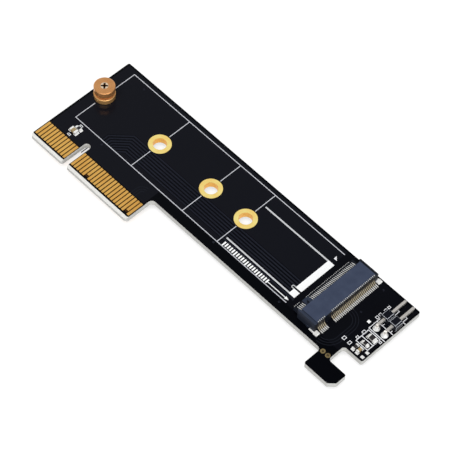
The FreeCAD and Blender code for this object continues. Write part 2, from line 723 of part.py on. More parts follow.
def placed(shape, chip):
    shape.Placement = chip_frame(chip).multiply(shape.Placement)
    return shape


def chip_body(chip):
    """Ceramic block, set in by the plating of its end caps."""
    length, width, height = chip[2:5]
    half_l = length / 2 - CAP_WALL
    half_w = width / 2 - CAP_WALL
    body = box(-half_l, half_l, -half_w, half_w, PAD_T + CAP_WALL, PAD_T + height - CAP_WALL)
    return placed(body, chip)


def chip_caps(chip):
    """Plated end caps that wrap five sides of the ceramic."""
    length, width, height, cap = chip[2:6]
    core = box(CAP_WALL - length / 2, length / 2 - CAP_WALL, CAP_WALL - width / 2, width / 2 - CAP_WALL,
               PAD_T + CAP_WALL, PAD_T + height - CAP_WALL)
    caps = []
    for side in (-1, 1):
        x0, x1 = sorted((side * length / 2, side * (length / 2 - cap)))
        block = box(x0, x1, -width / 2, width / 2, PAD_T, PAD_T + height)
        outer = [e for e in block.Edges if abs(e.BoundBox.Center.x) > length / 2 - NEAR_ZERO]
        block = block.makeChamfer(CHIP_EDGE, outer)
        caps.append(placed(block.cut(core), chip))
    return caps


def chip_solder(chip):
    """Concave solder fillet between each end cap and its pad."""
    length, width, height = chip[2:5]
    rise = height * SOLDER_RISE
    heel = V(length / 2, 0, PAD_T)
    toe = V(length / 2 + SOLDER_RUN, 0, PAD_T)
    crest = V(length / 2, 0, PAD_T + rise)
    waist = (toe + crest) * 0.5 + V(-rise, 0, -SOLDER_RUN) * SOLDER_DIP
    edges = [
        Part.LineSegment(heel, toe).toShape(),
        Part.Arc(toe, waist, crest).toShape(),
        Part.LineSegment(crest, heel).toShape(),
    ]
    fillets = []
    for turn in (0, 180):
        fillet = Part.Face(Part.Wire(edges)).extrude(V(0, width, 0))
        fillet.translate(V(0, -width / 2, 0))
        fillet.rotate(V(0, 0, 0), V(0, 0, 1), turn)
        fillets.append(placed(fillet, chip))
    return fillets


# ---- solder pads -----------------------------------------------------------------------------
def flat_pad(x0, x1, y0, y1):
    return box(x0, x1, y0, y1, 0, PAD_T)


def connector_pads():
    """One pad under each contact foot and under each hold-down."""
    half = CONTACT_W / 2
    rear = REAR_FOOT_END + PAD_BORDER
    front = FRONT_FOOT_END - PAD_BORDER
    pads = [flat_pad(rear - REAR_PAD_L, rear, y - half, y + half) for y in REAR_ROW]
    pads += [flat_pad(front, LIP_FRONT - PAD_TO_LIP, y - half, y + half) for y in FRONT_ROW]
    for side in (-1, 1):
        y0, y1 = sorted((side * TAB_INNER, side * (TAB_OUTER + PAD_BORDER)))
        pads.append(flat_pad(HOUSING_REAR + TAB_FIT, TAB_X1 + PAD_BORDER, y0, y1))
    return pads


def chip_pads():
    """Two pads for each chip, reaching under its fillets."""
    pads = []
    for chip in CHIPS.values():
        length, width, _, cap = chip[2:6]
        for side in (-1, 1):
            x0, x1 = sorted((side * (length / 2 - cap), side * (length / 2 + SOLDER_RUN + PAD_UNDER)))
            half = width / 2 + PAD_UNDER
            pads.append(placed(flat_pad(x0, x1, -half, half), chip))
    return pads


def bare_pads():
    """Pads of a part that this version of the card leaves out."""
    half_x, half_y = BARE_PAD_SIZE[0] / 2, BARE_PAD_SIZE[1] / 2
    return [flat_pad(x - half_x, x + half_x, y - half_y, y + half_y) for x, y in BARE_PADS]


# ---- print -----------------------------------------------------------------------------------
def stroke(x0, y0, x1, y1, width):
    """Straight inked line with square ends, along X or Y."""
    half = width / 2
    return box(min(x0, x1) - half, max(x0, x1) + half, min(y0, y1) - half, max(y0, y1) + half, 0, INK_T)


def module_frame_print():
    """Frame of the drive bay with a cross line at each module length, broken at the holes."""
    left = MODULE_HOLES["2280"]
    lines = [stroke(left, y, FRAME_RIGHT, y, INK_LINE) for y in (FRAME_FAR, FRAME_NEAR)]
    lines += [stroke(x, FRAME_NEAR, x, FRAME_FAR, INK_LINE) for x in MODULE_HOLES.values()]
    drawing = lines[0].fuse(lines[1:])
    gaps = [cylinder(x, 0, MODULE_PAD_R + INK_CLEAR, -1, 1) for x in MODULE_HOLES.values()]
    return drawing.cut(gaps).removeSplitter().Solids


def drive_outline_print():
    """Drive end drawn on the board: two edges, the contact bar, and the key notch as a loop."""
    half_gap = NOTCH_GAP / 2
    loop_half = half_gap + INK_BOLD / 2
    nose = BAR_LEFT - NOTCH_REACH
    shapes = [
        stroke(DRIVE_LEFT, DRIVE_FAR, BAR_LEFT, DRIVE_FAR, INK_BOLD),
        stroke(DRIVE_LEFT, DRIVE_NEAR, BAR_LEFT, DRIVE_NEAR, INK_BOLD),
        box(BAR_LEFT, BAR_RIGHT, DRIVE_NEAR - INK_BOLD / 2, DRIVE_FAR + INK_BOLD / 2, 0, INK_T),
        stroke(nose + loop_half, NOTCH_Y, BAR_LEFT, NOTCH_Y, 2 * loop_half),
        cylinder(nose + loop_half / 2, NOTCH_Y, loop_half, 0, INK_T),
    ]
    drawing = shapes[0].fuse(shapes[1:])
    slot = box(nose + loop_half / 2, BAR_RIGHT + 1, NOTCH_Y - half_gap, NOTCH_Y + half_gap, -1, 1)
    bend = cylinder(nose + loop_half / 2, NOTCH_Y, half_gap, -1, 1)
    return drawing.cut([slot, bend]).removeSplitter().Solids


def arrow_print():
    """Arrow that shows the way the drive goes in."""
    shaft = stroke(ARROW_TAIL, ARROW_Y, ARROW_NECK, ARROW_Y, INK_LINE)
    head = plate([(ARROW_NECK, ARROW_Y + ARROW_HALF, 0), (ARROW_NECK, ARROW_Y - ARROW_HALF, 0),
                  (ARROW_TIP, ARROW_Y, 0)], 0, INK_T)
    return shaft.fuse(head).removeSplitter().Solids


def pin_mark_print():
    """Triangle beside the first contact of the connector."""
    x, y, size = PIN_MARK
    half = size / 2
    return [plate([(x - half, y + half, 0), (x - half, y - half, 0), (x + half, y - half, 0)], 0, INK_T)]


def part_outline_prints(copper):
    """Outlines round the parts at the right end, cut back where they would cross copper."""
    power, signal = CHIPS["power_resistor"], CHIPS["signal_resistor"]
    left = power[0] - POWER_BOX[0]
    right = left + BOX_W
    far = power[1] + POWER_BOX[1]
    middle = power[1] - POWER_BOX[1]
    near = signal[1] - SIGNAL_BOX_HALF
    lines = [stroke(left, y, right, y, INK_LINE) for y in (far, middle, near)]
    lines += [stroke(x, near, x, far, INK_LINE) for x in (left, right)]
    header_left = HEADER_X - HEADER_PITCH / 2
    for y in (HEADER_BOX_NEAR, HEADER_BOX_FAR, HEADER_BODY[1]):
        lines.append(stroke(header_left, y, BOARD_RIGHT - INK_LINE, y, INK_LINE))
    lines.append(stroke(header_left, HEADER_BOX_NEAR, header_left, HEADER_BODY[1], INK_LINE))
    for x in HEADER_PINS:
        ends = (x - PIN_DRAWN_HALF, x + PIN_DRAWN_HALF)
        lines += [stroke(side, HEADER_BOX_FAR, side, HEADER_BODY[0], INK_LINE) for side in ends]
        lines += [stroke(side, HEADER_BODY[1], side, PIN_DRAWN_END, INK_LINE) for side in ends]
        lines.append(stroke(ends[0], PIN_DRAWN_END, ends[1], PIN_DRAWN_END, INK_LINE))
    drawing = lines[0].fuse(lines[1:])
    return drawing.cut(copper).removeSplitter().Solids


def copper_keepouts():
    """Pads grown by the ink clearance, so that print is cut back round them."""
    grown = []
    for pad in chip_pads() + bare_pads():
        b = pad.BoundBox
        grown.append(box(b.XMin - INK_CLEAR / 2, b.XMax + INK_CLEAR / 2, b.YMin - INK_CLEAR / 2,
                         b.YMax + INK_CLEAR / 2, -1, 1))
    for x in HEADER_PINS:
        grown.append(cylinder(x, PIN_LEG_Y, PIN_PAD_R + INK_CLEAR / 2, -1, 1))
    return grown


# ---- writing ---------------------------------------------------------------------------------
def build_parts():
    """Every node of the card by name, as a list of solids."""
    post_x = MODULE_HOLES["2280"]
    parts = {
        "circuit_board": [circuit_board()],
        "edge_contacts_front": edge_contacts(SHORT_FRONT, 0),
        "edge_contacts_back": edge_contacts(SHORT_BACK, BOARD_BACK - PLATE_T),
        "hook_vias": hook_vias(),
        "standoff_post": [standoff_post(post_x)],
        "standoff_screw": [standoff_screw(post_x)],
        "standoff_nut": [standoff_nut(post_x)],
        "connector_housing": [connector_housing()],
        "connector_upper_contacts": [rear_contact(y) for y in REAR_ROW],
        "connector_lower_contacts": [front_contact(y) for y in FRONT_ROW],
        "connector_tab_near": [hold_down(-1)],
        "connector_tab_far": [hold_down(1)],
        "connector_pads": connector_pads(),
        "header_insulator": [header_insulator()],
        "header_pins": [header_pin(x) for x in HEADER_PINS],
        "header_hole_plating": header_rings(),
        "header_solder": [header_solder(x) for x in HEADER_PINS],
        "chip_pads": chip_pads() + bare_pads(),
        "chip_solder": [piece for chip in CHIPS.values() for piece in chip_solder(chip)],
        "module_frame_print": module_frame_print(),
        "drive_outline_print": drive_outline_print(),
        "arrow_print": arrow_print(),
        "pin_mark_print": pin_mark_print(),
        "part_outline_prints": part_outline_prints(copper_keepouts()),
    }
    for size, x in MODULE_HOLES.items():
        pad_r = POST_R - POST_CHAMFER if x == post_x else MODULE_PAD_R
        parts["hole_plating_" + size] = plated_rings(x, 0, MODULE_HOLE_R, pad_r)
    for name, chip in CHIPS.items():
        parts[name + "_body"] = [chip_body(chip)]
        parts[name + "_caps"] = chip_caps(chip)
    return parts


def write_parts():
    """Move the card over its origin and write one file for each node."""
    os.makedirs("parts", exist_ok=True)
    shift = V(-(BOARD_LEFT + BOARD_RIGHT) / 2, -(BOARD_FAR + TONGUE_TIP) / 2, -STUD_BOTTOM)
    for name, solids in build_parts().items():
        shape = solids[0] if len(solids) == 1 else Part.makeCompound(solids)
        shape.translate(shift)
        shape.exportStep(os.path.join("parts", name + ".step"))
        print("%-28s %3d  valid %s  %.3f mm3" % (name, len(shape.Solids), shape.isValid(), shape.Volume))


write_parts()
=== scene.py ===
import math

import bmesh
import bpy
from mathutils import Matrix, Vector


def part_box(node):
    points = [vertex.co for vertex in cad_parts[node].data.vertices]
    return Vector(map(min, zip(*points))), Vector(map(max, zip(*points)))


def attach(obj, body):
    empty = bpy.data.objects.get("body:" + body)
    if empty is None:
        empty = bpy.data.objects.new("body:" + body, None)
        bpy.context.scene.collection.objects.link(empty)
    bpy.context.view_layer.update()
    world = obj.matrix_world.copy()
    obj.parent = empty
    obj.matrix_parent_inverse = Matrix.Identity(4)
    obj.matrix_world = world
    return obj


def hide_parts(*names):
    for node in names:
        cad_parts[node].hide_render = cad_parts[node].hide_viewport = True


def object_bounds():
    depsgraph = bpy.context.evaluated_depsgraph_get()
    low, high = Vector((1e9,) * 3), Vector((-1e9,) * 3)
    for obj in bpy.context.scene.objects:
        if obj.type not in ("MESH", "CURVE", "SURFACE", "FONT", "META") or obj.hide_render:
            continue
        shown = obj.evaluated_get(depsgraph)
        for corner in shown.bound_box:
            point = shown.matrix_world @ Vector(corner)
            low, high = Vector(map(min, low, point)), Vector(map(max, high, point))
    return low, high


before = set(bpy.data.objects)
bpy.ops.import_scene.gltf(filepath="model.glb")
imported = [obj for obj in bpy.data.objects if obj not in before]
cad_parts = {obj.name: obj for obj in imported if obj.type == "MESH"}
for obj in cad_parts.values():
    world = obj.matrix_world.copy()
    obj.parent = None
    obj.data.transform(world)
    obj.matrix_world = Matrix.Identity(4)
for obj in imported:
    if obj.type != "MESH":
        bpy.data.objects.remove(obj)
cad_lowest, cad_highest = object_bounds()
scene = bpy.context.scene
scene.view_settings.view_transform = "Standard"

# ---- camera ----
# A long lens, looking down on the card from its slot side and over its connector end.
CAMERA_AT = (0.2014226, -0.2112196, 0.4297094)
CAMERA_RIGHT = Vector((0.6936254, 0.7196349, 0.0317714))
CAMERA_UP = Vector((-0.6075492, 0.5607556, 0.5625275))
CAMERA_BACK = Vector((0.3869984, -0.4094861, 0.8261679))
camera_data = bpy.data.cameras.new("camera")
camera_data.sensor_width = 36.0
camera_data.lens = 172.84
camera_data.clip_start = 0.01
camera_data.clip_end = 20.0
camera = bpy.data.objects.new("camera", camera_data)
scene.collection.objects.link(camera)
turn = Matrix((CAMERA_RIGHT, CAMERA_UP, CAMERA_BACK)).transposed()
camera.matrix_world = Matrix.Translation(CAMERA_AT) @ turn.to_4x4()
scene.camera = camera

# ---- paper floor ----
# A sheet of white paper under the card. It reads as white to the lens and in polished metal, keeps
# the card's shadow, and lets a lens below the table see through it.
PAPER_WHITE = (0.42, 0.42, 0.42)
PAPER_GLOW = 0.66
PAPER_HALF = 3.0
PAPER_DROP = 0.0001


def new_material(name):
    """An empty node material, its tree, and its Principled shader, already joined to the output."""
    material = bpy.data.materials.new(name)
    material.use_nodes = True
    return material, material.node_tree, material.node_tree.nodes["Principled BSDF"]


def sum_up(tree, operation, *parts):
    """A Math node whose inputs are sockets or plain numbers; gives back its result."""
    node = tree.nodes.new("ShaderNodeMath")
    node.operation = operation
    for socket, part in zip(node.inputs, parts):
        if isinstance(part, (int, float)):
            socket.default_value = part
        else:
            tree.links.new(part, socket)
    return node.outputs[0]


paper, tree, shader = new_material("white_paper")
shader.inputs["Base Color"].default_value = (*PAPER_WHITE, 1)
shader.inputs["Roughness"].default_value = 0.9
shader.inputs["Specular IOR Level"].default_value = 0.1
ray = tree.nodes.new("ShaderNodeLightPath")
seen = sum_up(tree, "MAXIMUM", ray.outputs["Is Camera Ray"], ray.outputs["Is Glossy Ray"])
seen = sum_up(tree, "MAXIMUM", seen, ray.outputs["Is Transmission Ray"])
glow = tree.nodes.new("ShaderNodeEmission")
glow.inputs["Color"].default_value = (1, 1, 1, 1)
tree.links.new(sum_up(tree, "MULTIPLY", seen, PAPER_GLOW), glow.inputs["Strength"])
lit_paper = tree.nodes.new("ShaderNodeAddShader")
tree.links.new(shader.outputs[0], lit_paper.inputs[0])
tree.links.new(glow.outputs[0], lit_paper.inputs[1])
surface = tree.nodes.new("ShaderNodeNewGeometry")
seen_from_below = sum_up(tree, "MULTIPLY", surface.outputs["Backfacing"], ray.outputs["Is Camera Ray"])
clear = tree.nodes.new("ShaderNodeBsdfTransparent")
paper_or_clear = tree.nodes.new("ShaderNodeMixShader")
tree.links.new(seen_from_below, paper_or_clear.inputs[0])
tree.links.new(lit_paper.outputs[0], paper_or_clear.inputs[1])
tree.links.new(clear.outputs[0], paper_or_clear.inputs[2])
tree.links.new(paper_or_clear.outputs[0], tree.nodes["Material Output"].inputs["Surface"])

sheet = bmesh.new()
bmesh.ops.create_grid(sheet, x_segments=2, y_segments=2, size=PAPER_HALF)
bmesh.ops.translate(sheet, verts=sheet.verts, vec=(0, 0, cad_lowest.z - PAPER_DROP))
paper_mesh = bpy.data.meshes.new("paper_floor")
sheet.to_mesh(paper_mesh)
sheet.free()
paper_mesh.materials.append(paper)
floor = bpy.data.objects.new("paper_floor", paper_mesh)
scene.collection.objects.link(floor)

# ---- studio light ----
# One wide softbox over the slot side and a weak one at the connector end. The room is evenly dim,
# but for its back wall, which is bright behind the standoff end and dark behind the middle. The
# lens itself sees plain white beyond the paper.


def softbox(name, at, aim, width, height, power, colour):
    """A rectangular area lamp that faces a point."""
    lamp = bpy.data.lights.new(name, "AREA")
    lamp.shape = "RECTANGLE"
    lamp.size = width
    lamp.size_y = height
    lamp.energy = power
    lamp.color = colour
    holder = bpy.data.objects.new(name, lamp)
    scene.collection.objects.link(holder)
    holder.location = at
    holder.rotation_mode = "QUATERNION"
    holder.rotation_quaternion = (Vector(aim) - Vector(at)).to_track_quat("-Z", "Y")


TABLE_MIDDLE = (0, 0, 0)
softbox("key_box", at=(0.22, -0.34, 0.88), aim=TABLE_MIDDLE, width=0.8, height=0.6, power=8.8,
        colour=(1.0, 0.985, 0.96))
softbox("connector_side_box", at=(0.85, -0.10, 0.35), aim=TABLE_MIDDLE, width=0.5, height=0.4,
        power=2.0, colour=(0.97, 0.99, 1.0))

ROOM_TONE = (0.95, 0.97, 1.0)
ROOM_LEVEL = 0.38
BRIGHT_WALL = 0.95
DARK_WALL = 0.06
BACKDROP = 1.06

world = bpy.data.worlds.new("studio_room")
scene.world = world
world.use_nodes = True
tree = world.node_tree
room = tree.nodes["Background"]
room.inputs["Color"].default_value = (*ROOM_TONE, 1)


def split_xyz(tree, vector):
    """The three parts of a vector socket, as sockets named X, Y and Z."""
    node = tree.nodes.new("ShaderNodeSeparateXYZ")
    tree.links.new(vector, node.inputs[0])
    return node.outputs


def ramp(tree, value, low, high, at_low, at_high):
    """A clamped straight ramp from one level to another as a value goes from low to high."""
    node = tree.nodes.new("ShaderNodeMapRange")
    tree.links.new(value, node.inputs["Value"])
    ends = {"From Min": low, "From Max": high, "To Min": at_low, "To Max": at_high}
    for label, part in ends.items():
        if isinstance(part, (int, float)):
            node.inputs[label].default_value = part
        else:
            tree.links.new(part, node.inputs[label])
    return node.outputs["Result"]


toward = split_xyz(tree, tree.nodes.new("ShaderNodeTexCoord").outputs["Generated"])
left_part = ramp(tree, toward["X"], low=-0.62, high=-0.31, at_low=BRIGHT_WALL, at_high=DARK_WALL)
right_part = ramp(tree, toward["X"], low=0.0, high=0.25, at_low=0.0, at_high=ROOM_LEVEL - DARK_WALL)
back_wall = sum_up(tree, "ADD", left_part, right_part)
room_level = ramp(tree, toward["Y"], low=0.08, high=0.28, at_low=ROOM_LEVEL, at_high=back_wall)
ray = tree.nodes.new("ShaderNodeLightPath")
backdrop = sum_up(tree, "MULTIPLY", ray.outputs["Is Camera Ray"], BACKDROP)
tree.links.new(sum_up(tree, "MAXIMUM", room_level, backdrop), room.inputs["Strength"])

# ---- circuit board ----
# Glass-epoxy laminate, routed to shape and coated on both faces with glossy black solder mask. The
# mask looks a shade paler over the ground pour. The routed edges and the tongue's bevel are bare.
# Sizes are in millimetres, and an area is given as its left, right, near and far.
MM = 0.001
BOARD_THICKNESS = 1.6
FAR_HOLE_X = -80.0
BOARD_POUR = (-83.1, -6.6, -9.9, 11.1)
TONGUE_POUR = (-83.1, -49.6, -15.0, -9.6)
CONNECTOR_POUR = (-7.0, 16.1, -9.9, 11.1)
CONNECTOR_POUR_SHARE = 0.4
BARE_BAND = (-83.4, -49.5, -19.6, -15.2)
BEVEL_RIM = (-83.4, -49.5, -20.36, -20.0)
POUR_STEP = 0.004
POUR_EDGE = 0.25
CUT_EDGE = 0.02
FLAT_FACE = 0.97
SLOPING_FACE = 0.5
MASK_BARE = (0.0013, 0.0016, 0.0027)
MASK_ON_POUR = (0.0058, 0.0063, 0.0094)
MASK_BUMP = 0.0005
MASK_SPECULAR = 0.08
BARE_LAMINATE = (0.042, 0.018, 0.005)
CLOTH_LIGHT = (0.76, 0.76, 0.735)
CLOTH_DARK = (0.58, 0.575, 0.555)
CLOTH_SCALE = (450, 450, 9000)
CUT_ROUGHNESS = 0.75
board_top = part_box("circuit_board")[1].z
far_hole = sum(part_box("hole_plating_2280"), Vector()) / 2
datum = Vector((far_hole.x - FAR_HOLE_X * MM, far_hole.y, board_top))


def on_card(x, y, z=0.0):
    """A point in metres, from millimetres off the seated drive's end, its centreline and the board."""
    return datum + Vector((x, y, z)) * MM


def node_group(name, inputs, outputs):
    """A new shader node group with its sockets, and its two end nodes."""
    group = bpy.data.node_groups.new(name, "ShaderNodeTree")
    for label, kind, value in inputs:
        socket = group.interface.new_socket(name=label, in_out="INPUT", socket_type=kind)
        socket.default_value = value
    for label, kind in outputs:
        group.interface.new_socket(name=label, in_out="OUTPUT", socket_type=kind)
    return group, group.nodes.new("NodeGroupInput"), group.nodes.new("NodeGroupOutput")


def use_group(tree, group, values):
    """Places a group in a material with plain values on its inputs; gives back its outputs."""
    node = tree.nodes.new("ShaderNodeGroup")
    node.node_tree = group
    for label, value in values.items():
        node.inputs[label].default_value = value
    return node.outputs


FLOAT = "NodeSocketFloat"
COLOUR = "NodeSocketColor"
NOISE_LOW = 0.3
NOISE_HIGH = 0.7

grain_group, start, stop = node_group(
    "fine_grain", [("Scale", FLOAT, 4000.0), ("Low", FLOAT, 0.3), ("High", FLOAT, 0.4)],
    [("Height", FLOAT), ("Level", FLOAT)])
position = grain_group.nodes.new("ShaderNodeTexCoord")
noise = grain_group.nodes.new("ShaderNodeTexNoise")
noise.inputs["Detail"].default_value = 4.0
noise.inputs["Roughness"].default_value = 0.6
grain_group.links.new(position.outputs["Object"], noise.inputs["Vector"])
grain_group.links.new(start.outputs["Scale"], noise.inputs["Scale"])
level = ramp(grain_group, noise.outputs["Fac"], NOISE_LOW, NOISE_HIGH,
             at_low=start.outputs["Low"], at_high=start.outputs["High"])
grain_group.links.new(noise.outputs["Fac"], stop.inputs["Height"])
grain_group.links.new(level, stop.inputs["Level"])

# A Mix node keeps its colour sockets after those for plain numbers and vectors.
FIRST_COLOUR = 6
SECOND_COLOUR = 7
MIXED_COLOUR = 2


def mix_colour(tree, factor, first, second):
    """A colour mix of two sockets or plain colours; gives back its result."""
    node = tree.nodes.new("ShaderNodeMix")
    node.data_type = "RGBA"
    tree.links.new(factor, node.inputs["Factor"])
    for place, part in ((FIRST_COLOUR, first), (SECOND_COLOUR, second)):
        if isinstance(part, tuple):
            node.inputs[place].default_value = (*part, 1)
        else:
            tree.links.new(part, node.inputs[place])
    return node.outputs[MIXED_COLOUR]


blotch_group, start, stop = node_group(
    "soft_blotches",
    [("Scale", FLOAT, 200.0), ("Light", COLOUR, (1, 1, 1, 1)), ("Dark", COLOUR, (0, 0, 0, 1))],
    [("Color", COLOUR), ("Mask", FLOAT)])
position = blotch_group.nodes.new("ShaderNodeTexCoord")
noise = blotch_group.nodes.new("ShaderNodeTexNoise")
noise.inputs["Detail"].default_value = 3.0
blotch_group.links.new(position.outputs["Object"], noise.inputs["Vector"])
blotch_group.links.new(start.outputs["Scale"], noise.inputs["Scale"])
mask = ramp(blotch_group, noise.outputs["Fac"], low=0.35, high=0.65, at_low=0.0, at_high=1.0)
colour = mix_colour(blotch_group, mask, start.outputs["Dark"], start.outputs["Light"])
blotch_group.links.new(colour, stop.inputs["Color"])
blotch_group.links.new(mask, stop.inputs["Mask"])

area_group, start, stop = node_group(
    "inside_area",
    [("Left", FLOAT, 0.0), ("Right", FLOAT, 1.0), ("Near", FLOAT, 0.0), ("Far", FLOAT, 1.0),
     ("Edge", FLOAT, MM)],
    [("Mask", FLOAT)])
place = split_xyz(area_group, area_group.nodes.new("ShaderNodeTexCoord").outputs["Object"])
steps = []
for axis, low, high in (("X", "Left", "Right"), ("Y", "Near", "Far")):
    for edge, sign in ((low, 1.0), (high, -1.0)):
        depth = sum_up(area_group, "SUBTRACT", place[axis], start.outputs[edge])
        depth = sum_up(area_group, "MULTIPLY", depth, sign)
        depth = sum_up(area_group, "DIVIDE", depth, start.outputs["Edge"])
        steps.append(sum_up(area_group, "MINIMUM", sum_up(area_group, "MAXIMUM", depth, 0.0), 1.0))
inside = sum_up(area_group, "MINIMUM", sum_up(area_group, "MINIMUM", steps[0], steps[1]),
                sum_up(area_group, "MINIMUM", steps[2], steps[3]))
area_group.links.new(inside, stop.inputs["Mask"])


def inside_area(tree, area, edge):
    """Mask of an area of the card, with a soft edge."""
    left, right, near, far = area
    low, high = on_card(left, near), on_card(right, far)
    sides = {"Left": low.x, "Right": high.x, "Near": low.y, "Far": high.y, "Edge": edge * MM}
    return use_group(tree, area_group, sides)["Mask"]


def grain(tree, scale, low, high):
    """Fine grain: a bump height and a roughness that wanders between two levels."""
    made = use_group(tree, grain_group, {"Scale": scale, "Low": low, "High": high})
    return made["Height"], made["Level"]


def blotches(tree, scale, light, dark):
    """Slow changes between two tones of a colour."""
    tones = {"Scale": scale, "Light": (*light, 1), "Dark": (*dark, 1)}
    return use_group(tree, blotch_group, tones)["Color"]


def raise_grain(tree, height, depth, shader, under=None):
    """Bump of a given depth in millimetres, over another bump if there is one."""
    relief = tree.nodes.new("ShaderNodeBump")
    relief.inputs["Strength"].default_value = 1.0
    relief.inputs["Distance"].default_value = depth * MM
    tree.links.new(height, relief.inputs["Height"])
    if under is not None:
        tree.links.new(under, relief.inputs["Normal"])
    tree.links.new(relief.outputs["Normal"], shader.inputs["Normal"])
    return relief.outputs["Normal"]


def direction_faced(tree):
    """The three parts of the direction that the surface faces."""
    return split_xyz(tree, tree.nodes.new("ShaderNodeNewGeometry").outputs["Normal"])


def dress(node, material):
    """Gives a carried-over solid its finish."""
    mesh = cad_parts[node].data
    mesh.materials.clear()
    mesh.materials.append(material)


board_finish, tree, shader = new_material("black_mask_on_laminate")
facing = direction_faced(tree)
is_face = sum_up(tree, "GREATER_THAN", sum_up(tree, "ABSOLUTE", facing["Z"]), FLAT_FACE)
poured = sum_up(tree, "MAXIMUM", inside_area(tree, BOARD_POUR, POUR_EDGE),
                inside_area(tree, TONGUE_POUR, POUR_EDGE))
thin_pour = sum_up(tree, "MULTIPLY", inside_area(tree, CONNECTOR_POUR, POUR_EDGE),
                   CONNECTOR_POUR_SHARE)
poured = sum_up(tree, "MAXIMUM", poured, thin_pour)
tone = mix_colour(tree, poured, MASK_BARE, MASK_ON_POUR)
tone = mix_colour(tree, inside_area(tree, BARE_BAND, CUT_EDGE), tone, BARE_LAMINATE)
position = tree.nodes.new("ShaderNodeTexCoord")
layers = tree.nodes.new("ShaderNodeMapping")
layers.inputs["Scale"].default_value = CLOTH_SCALE
cloth = tree.nodes.new("ShaderNodeTexNoise")
cloth.inputs["Scale"].default_value = 1.0
cloth.inputs["Detail"].default_value = 3.0
tree.links.new(position.outputs["Object"], layers.inputs["Vector"])
tree.links.new(layers.outputs["Vector"], cloth.inputs["Vector"])
edge_tone = mix_colour(tree, cloth.outputs["Fac"], CLOTH_DARK, CLOTH_LIGHT)
bevelled = sum_up(tree, "GREATER_THAN", facing["Z"], SLOPING_FACE)
bevel_rim = sum_up(tree, "MULTIPLY", bevelled, inside_area(tree, BEVEL_RIM, CUT_EDGE))
edge_tone = mix_colour(tree, bevel_rim, edge_tone, MASK_BARE)
tree.links.new(mix_colour(tree, is_face, edge_tone, tone), shader.inputs["Base Color"])
height, level = grain(tree, scale=1800.0, low=0.12, high=0.18)
roughness = ramp(tree, is_face, low=0.0, high=1.0, at_low=CUT_ROUGHNESS, at_high=level)
tree.links.new(roughness, shader.inputs["Roughness"])
step = raise_grain(tree, poured, POUR_STEP, shader)
raise_grain(tree, height, MASK_BUMP, shader, under=step)
shader.inputs["Specular IOR Level"].default_value = MASK_SPECULAR
dress("circuit_board", board_finish)

# ---- copper tracks under the mask ----
# Etched copper lines, which show through the mask as low ridges a shade paler than the board: seven
# pairs under the drive, three short turns off the slot contacts, three loops behind the connector,
# and nine thin and two wide lines on the back.
TRACK_HEIGHT = 0.014
TRACK_WIDTH = 0.17
PAIR_PITCH = 0.22
GAP_WIDTH = 0.78
GAP_HEIGHT = 0.006
LANES = 7
LANE_STEP = 0.8
FIRST_LANE_Y = -3.0
LANE_FOOT = (-70.4, -10.0)
LANE_BEND_X = -65.95
LANE_BEND = math.pi / 4
LANE_END_X = -8.6
LANE_END_STEP = 0.44
MASK_ON_TRACK = (0.0150, 0.0170, 0.0260)
MASK_ON_TRACK_DARK = (0.0122, 0.0139, 0.0216)
MASK_ON_LOOP = (0.0100, 0.0115, 0.0170)
GAP_SPECULAR = 0.06


def add_grain(tree, shader, scale, rough, bump, specular):
    """Wandering roughness and a fine raised grain, with a plain shine."""
    height, level = grain(tree, scale, *rough)
    tree.links.new(level, shader.inputs["Roughness"])
    raise_grain(tree, height, bump, shader)
    shader.inputs["Specular IOR Level"].default_value = specular


def finish(name, light, dark, blotch_scale, rough, grain_scale, bump, metal=0.0, specular=0.5):
    """A material with blotched colour, wandering roughness and a fine grain."""
    material, tree, shader = new_material(name)
    tree.links.new(blotches(tree, blotch_scale, light, dark), shader.inputs["Base Color"])
    add_grain(tree, shader, grain_scale, rough, bump, specular)
    shader.inputs["Metallic"].default_value = metal
    return material


def mask_finish(name, light, dark, specular=MASK_SPECULAR):
    """Solder mask where a ridge of copper, or the gap between two, lies under it."""
    return finish(name, light, dark, blotch_scale=120.0, rough=(0.14, 0.20), grain_scale=2500.0,
                  bump=MASK_BUMP, specular=specular)


def make_piece(name, shape, material):
    """Turns a finished bmesh into a piece that rides with the card."""
    bmesh.ops.remove_doubles(shape, verts=shape.verts, dist=1e-8)
    bmesh.ops.recalc_face_normals(shape, faces=shape.faces)
    mesh = bpy.data.meshes.new(name)
    shape.to_mesh(mesh)
    shape.free()
    mesh.materials.append(material)
    piece = bpy.data.objects.new(name, mesh)
    scene.collection.objects.link(piece)
    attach(piece, "root")
    return piece


def of_kind(geometry, kind):
    """The vertices, edges or faces among what a mesh operator gives back."""
    return [part for part in geometry if isinstance(part, kind)]


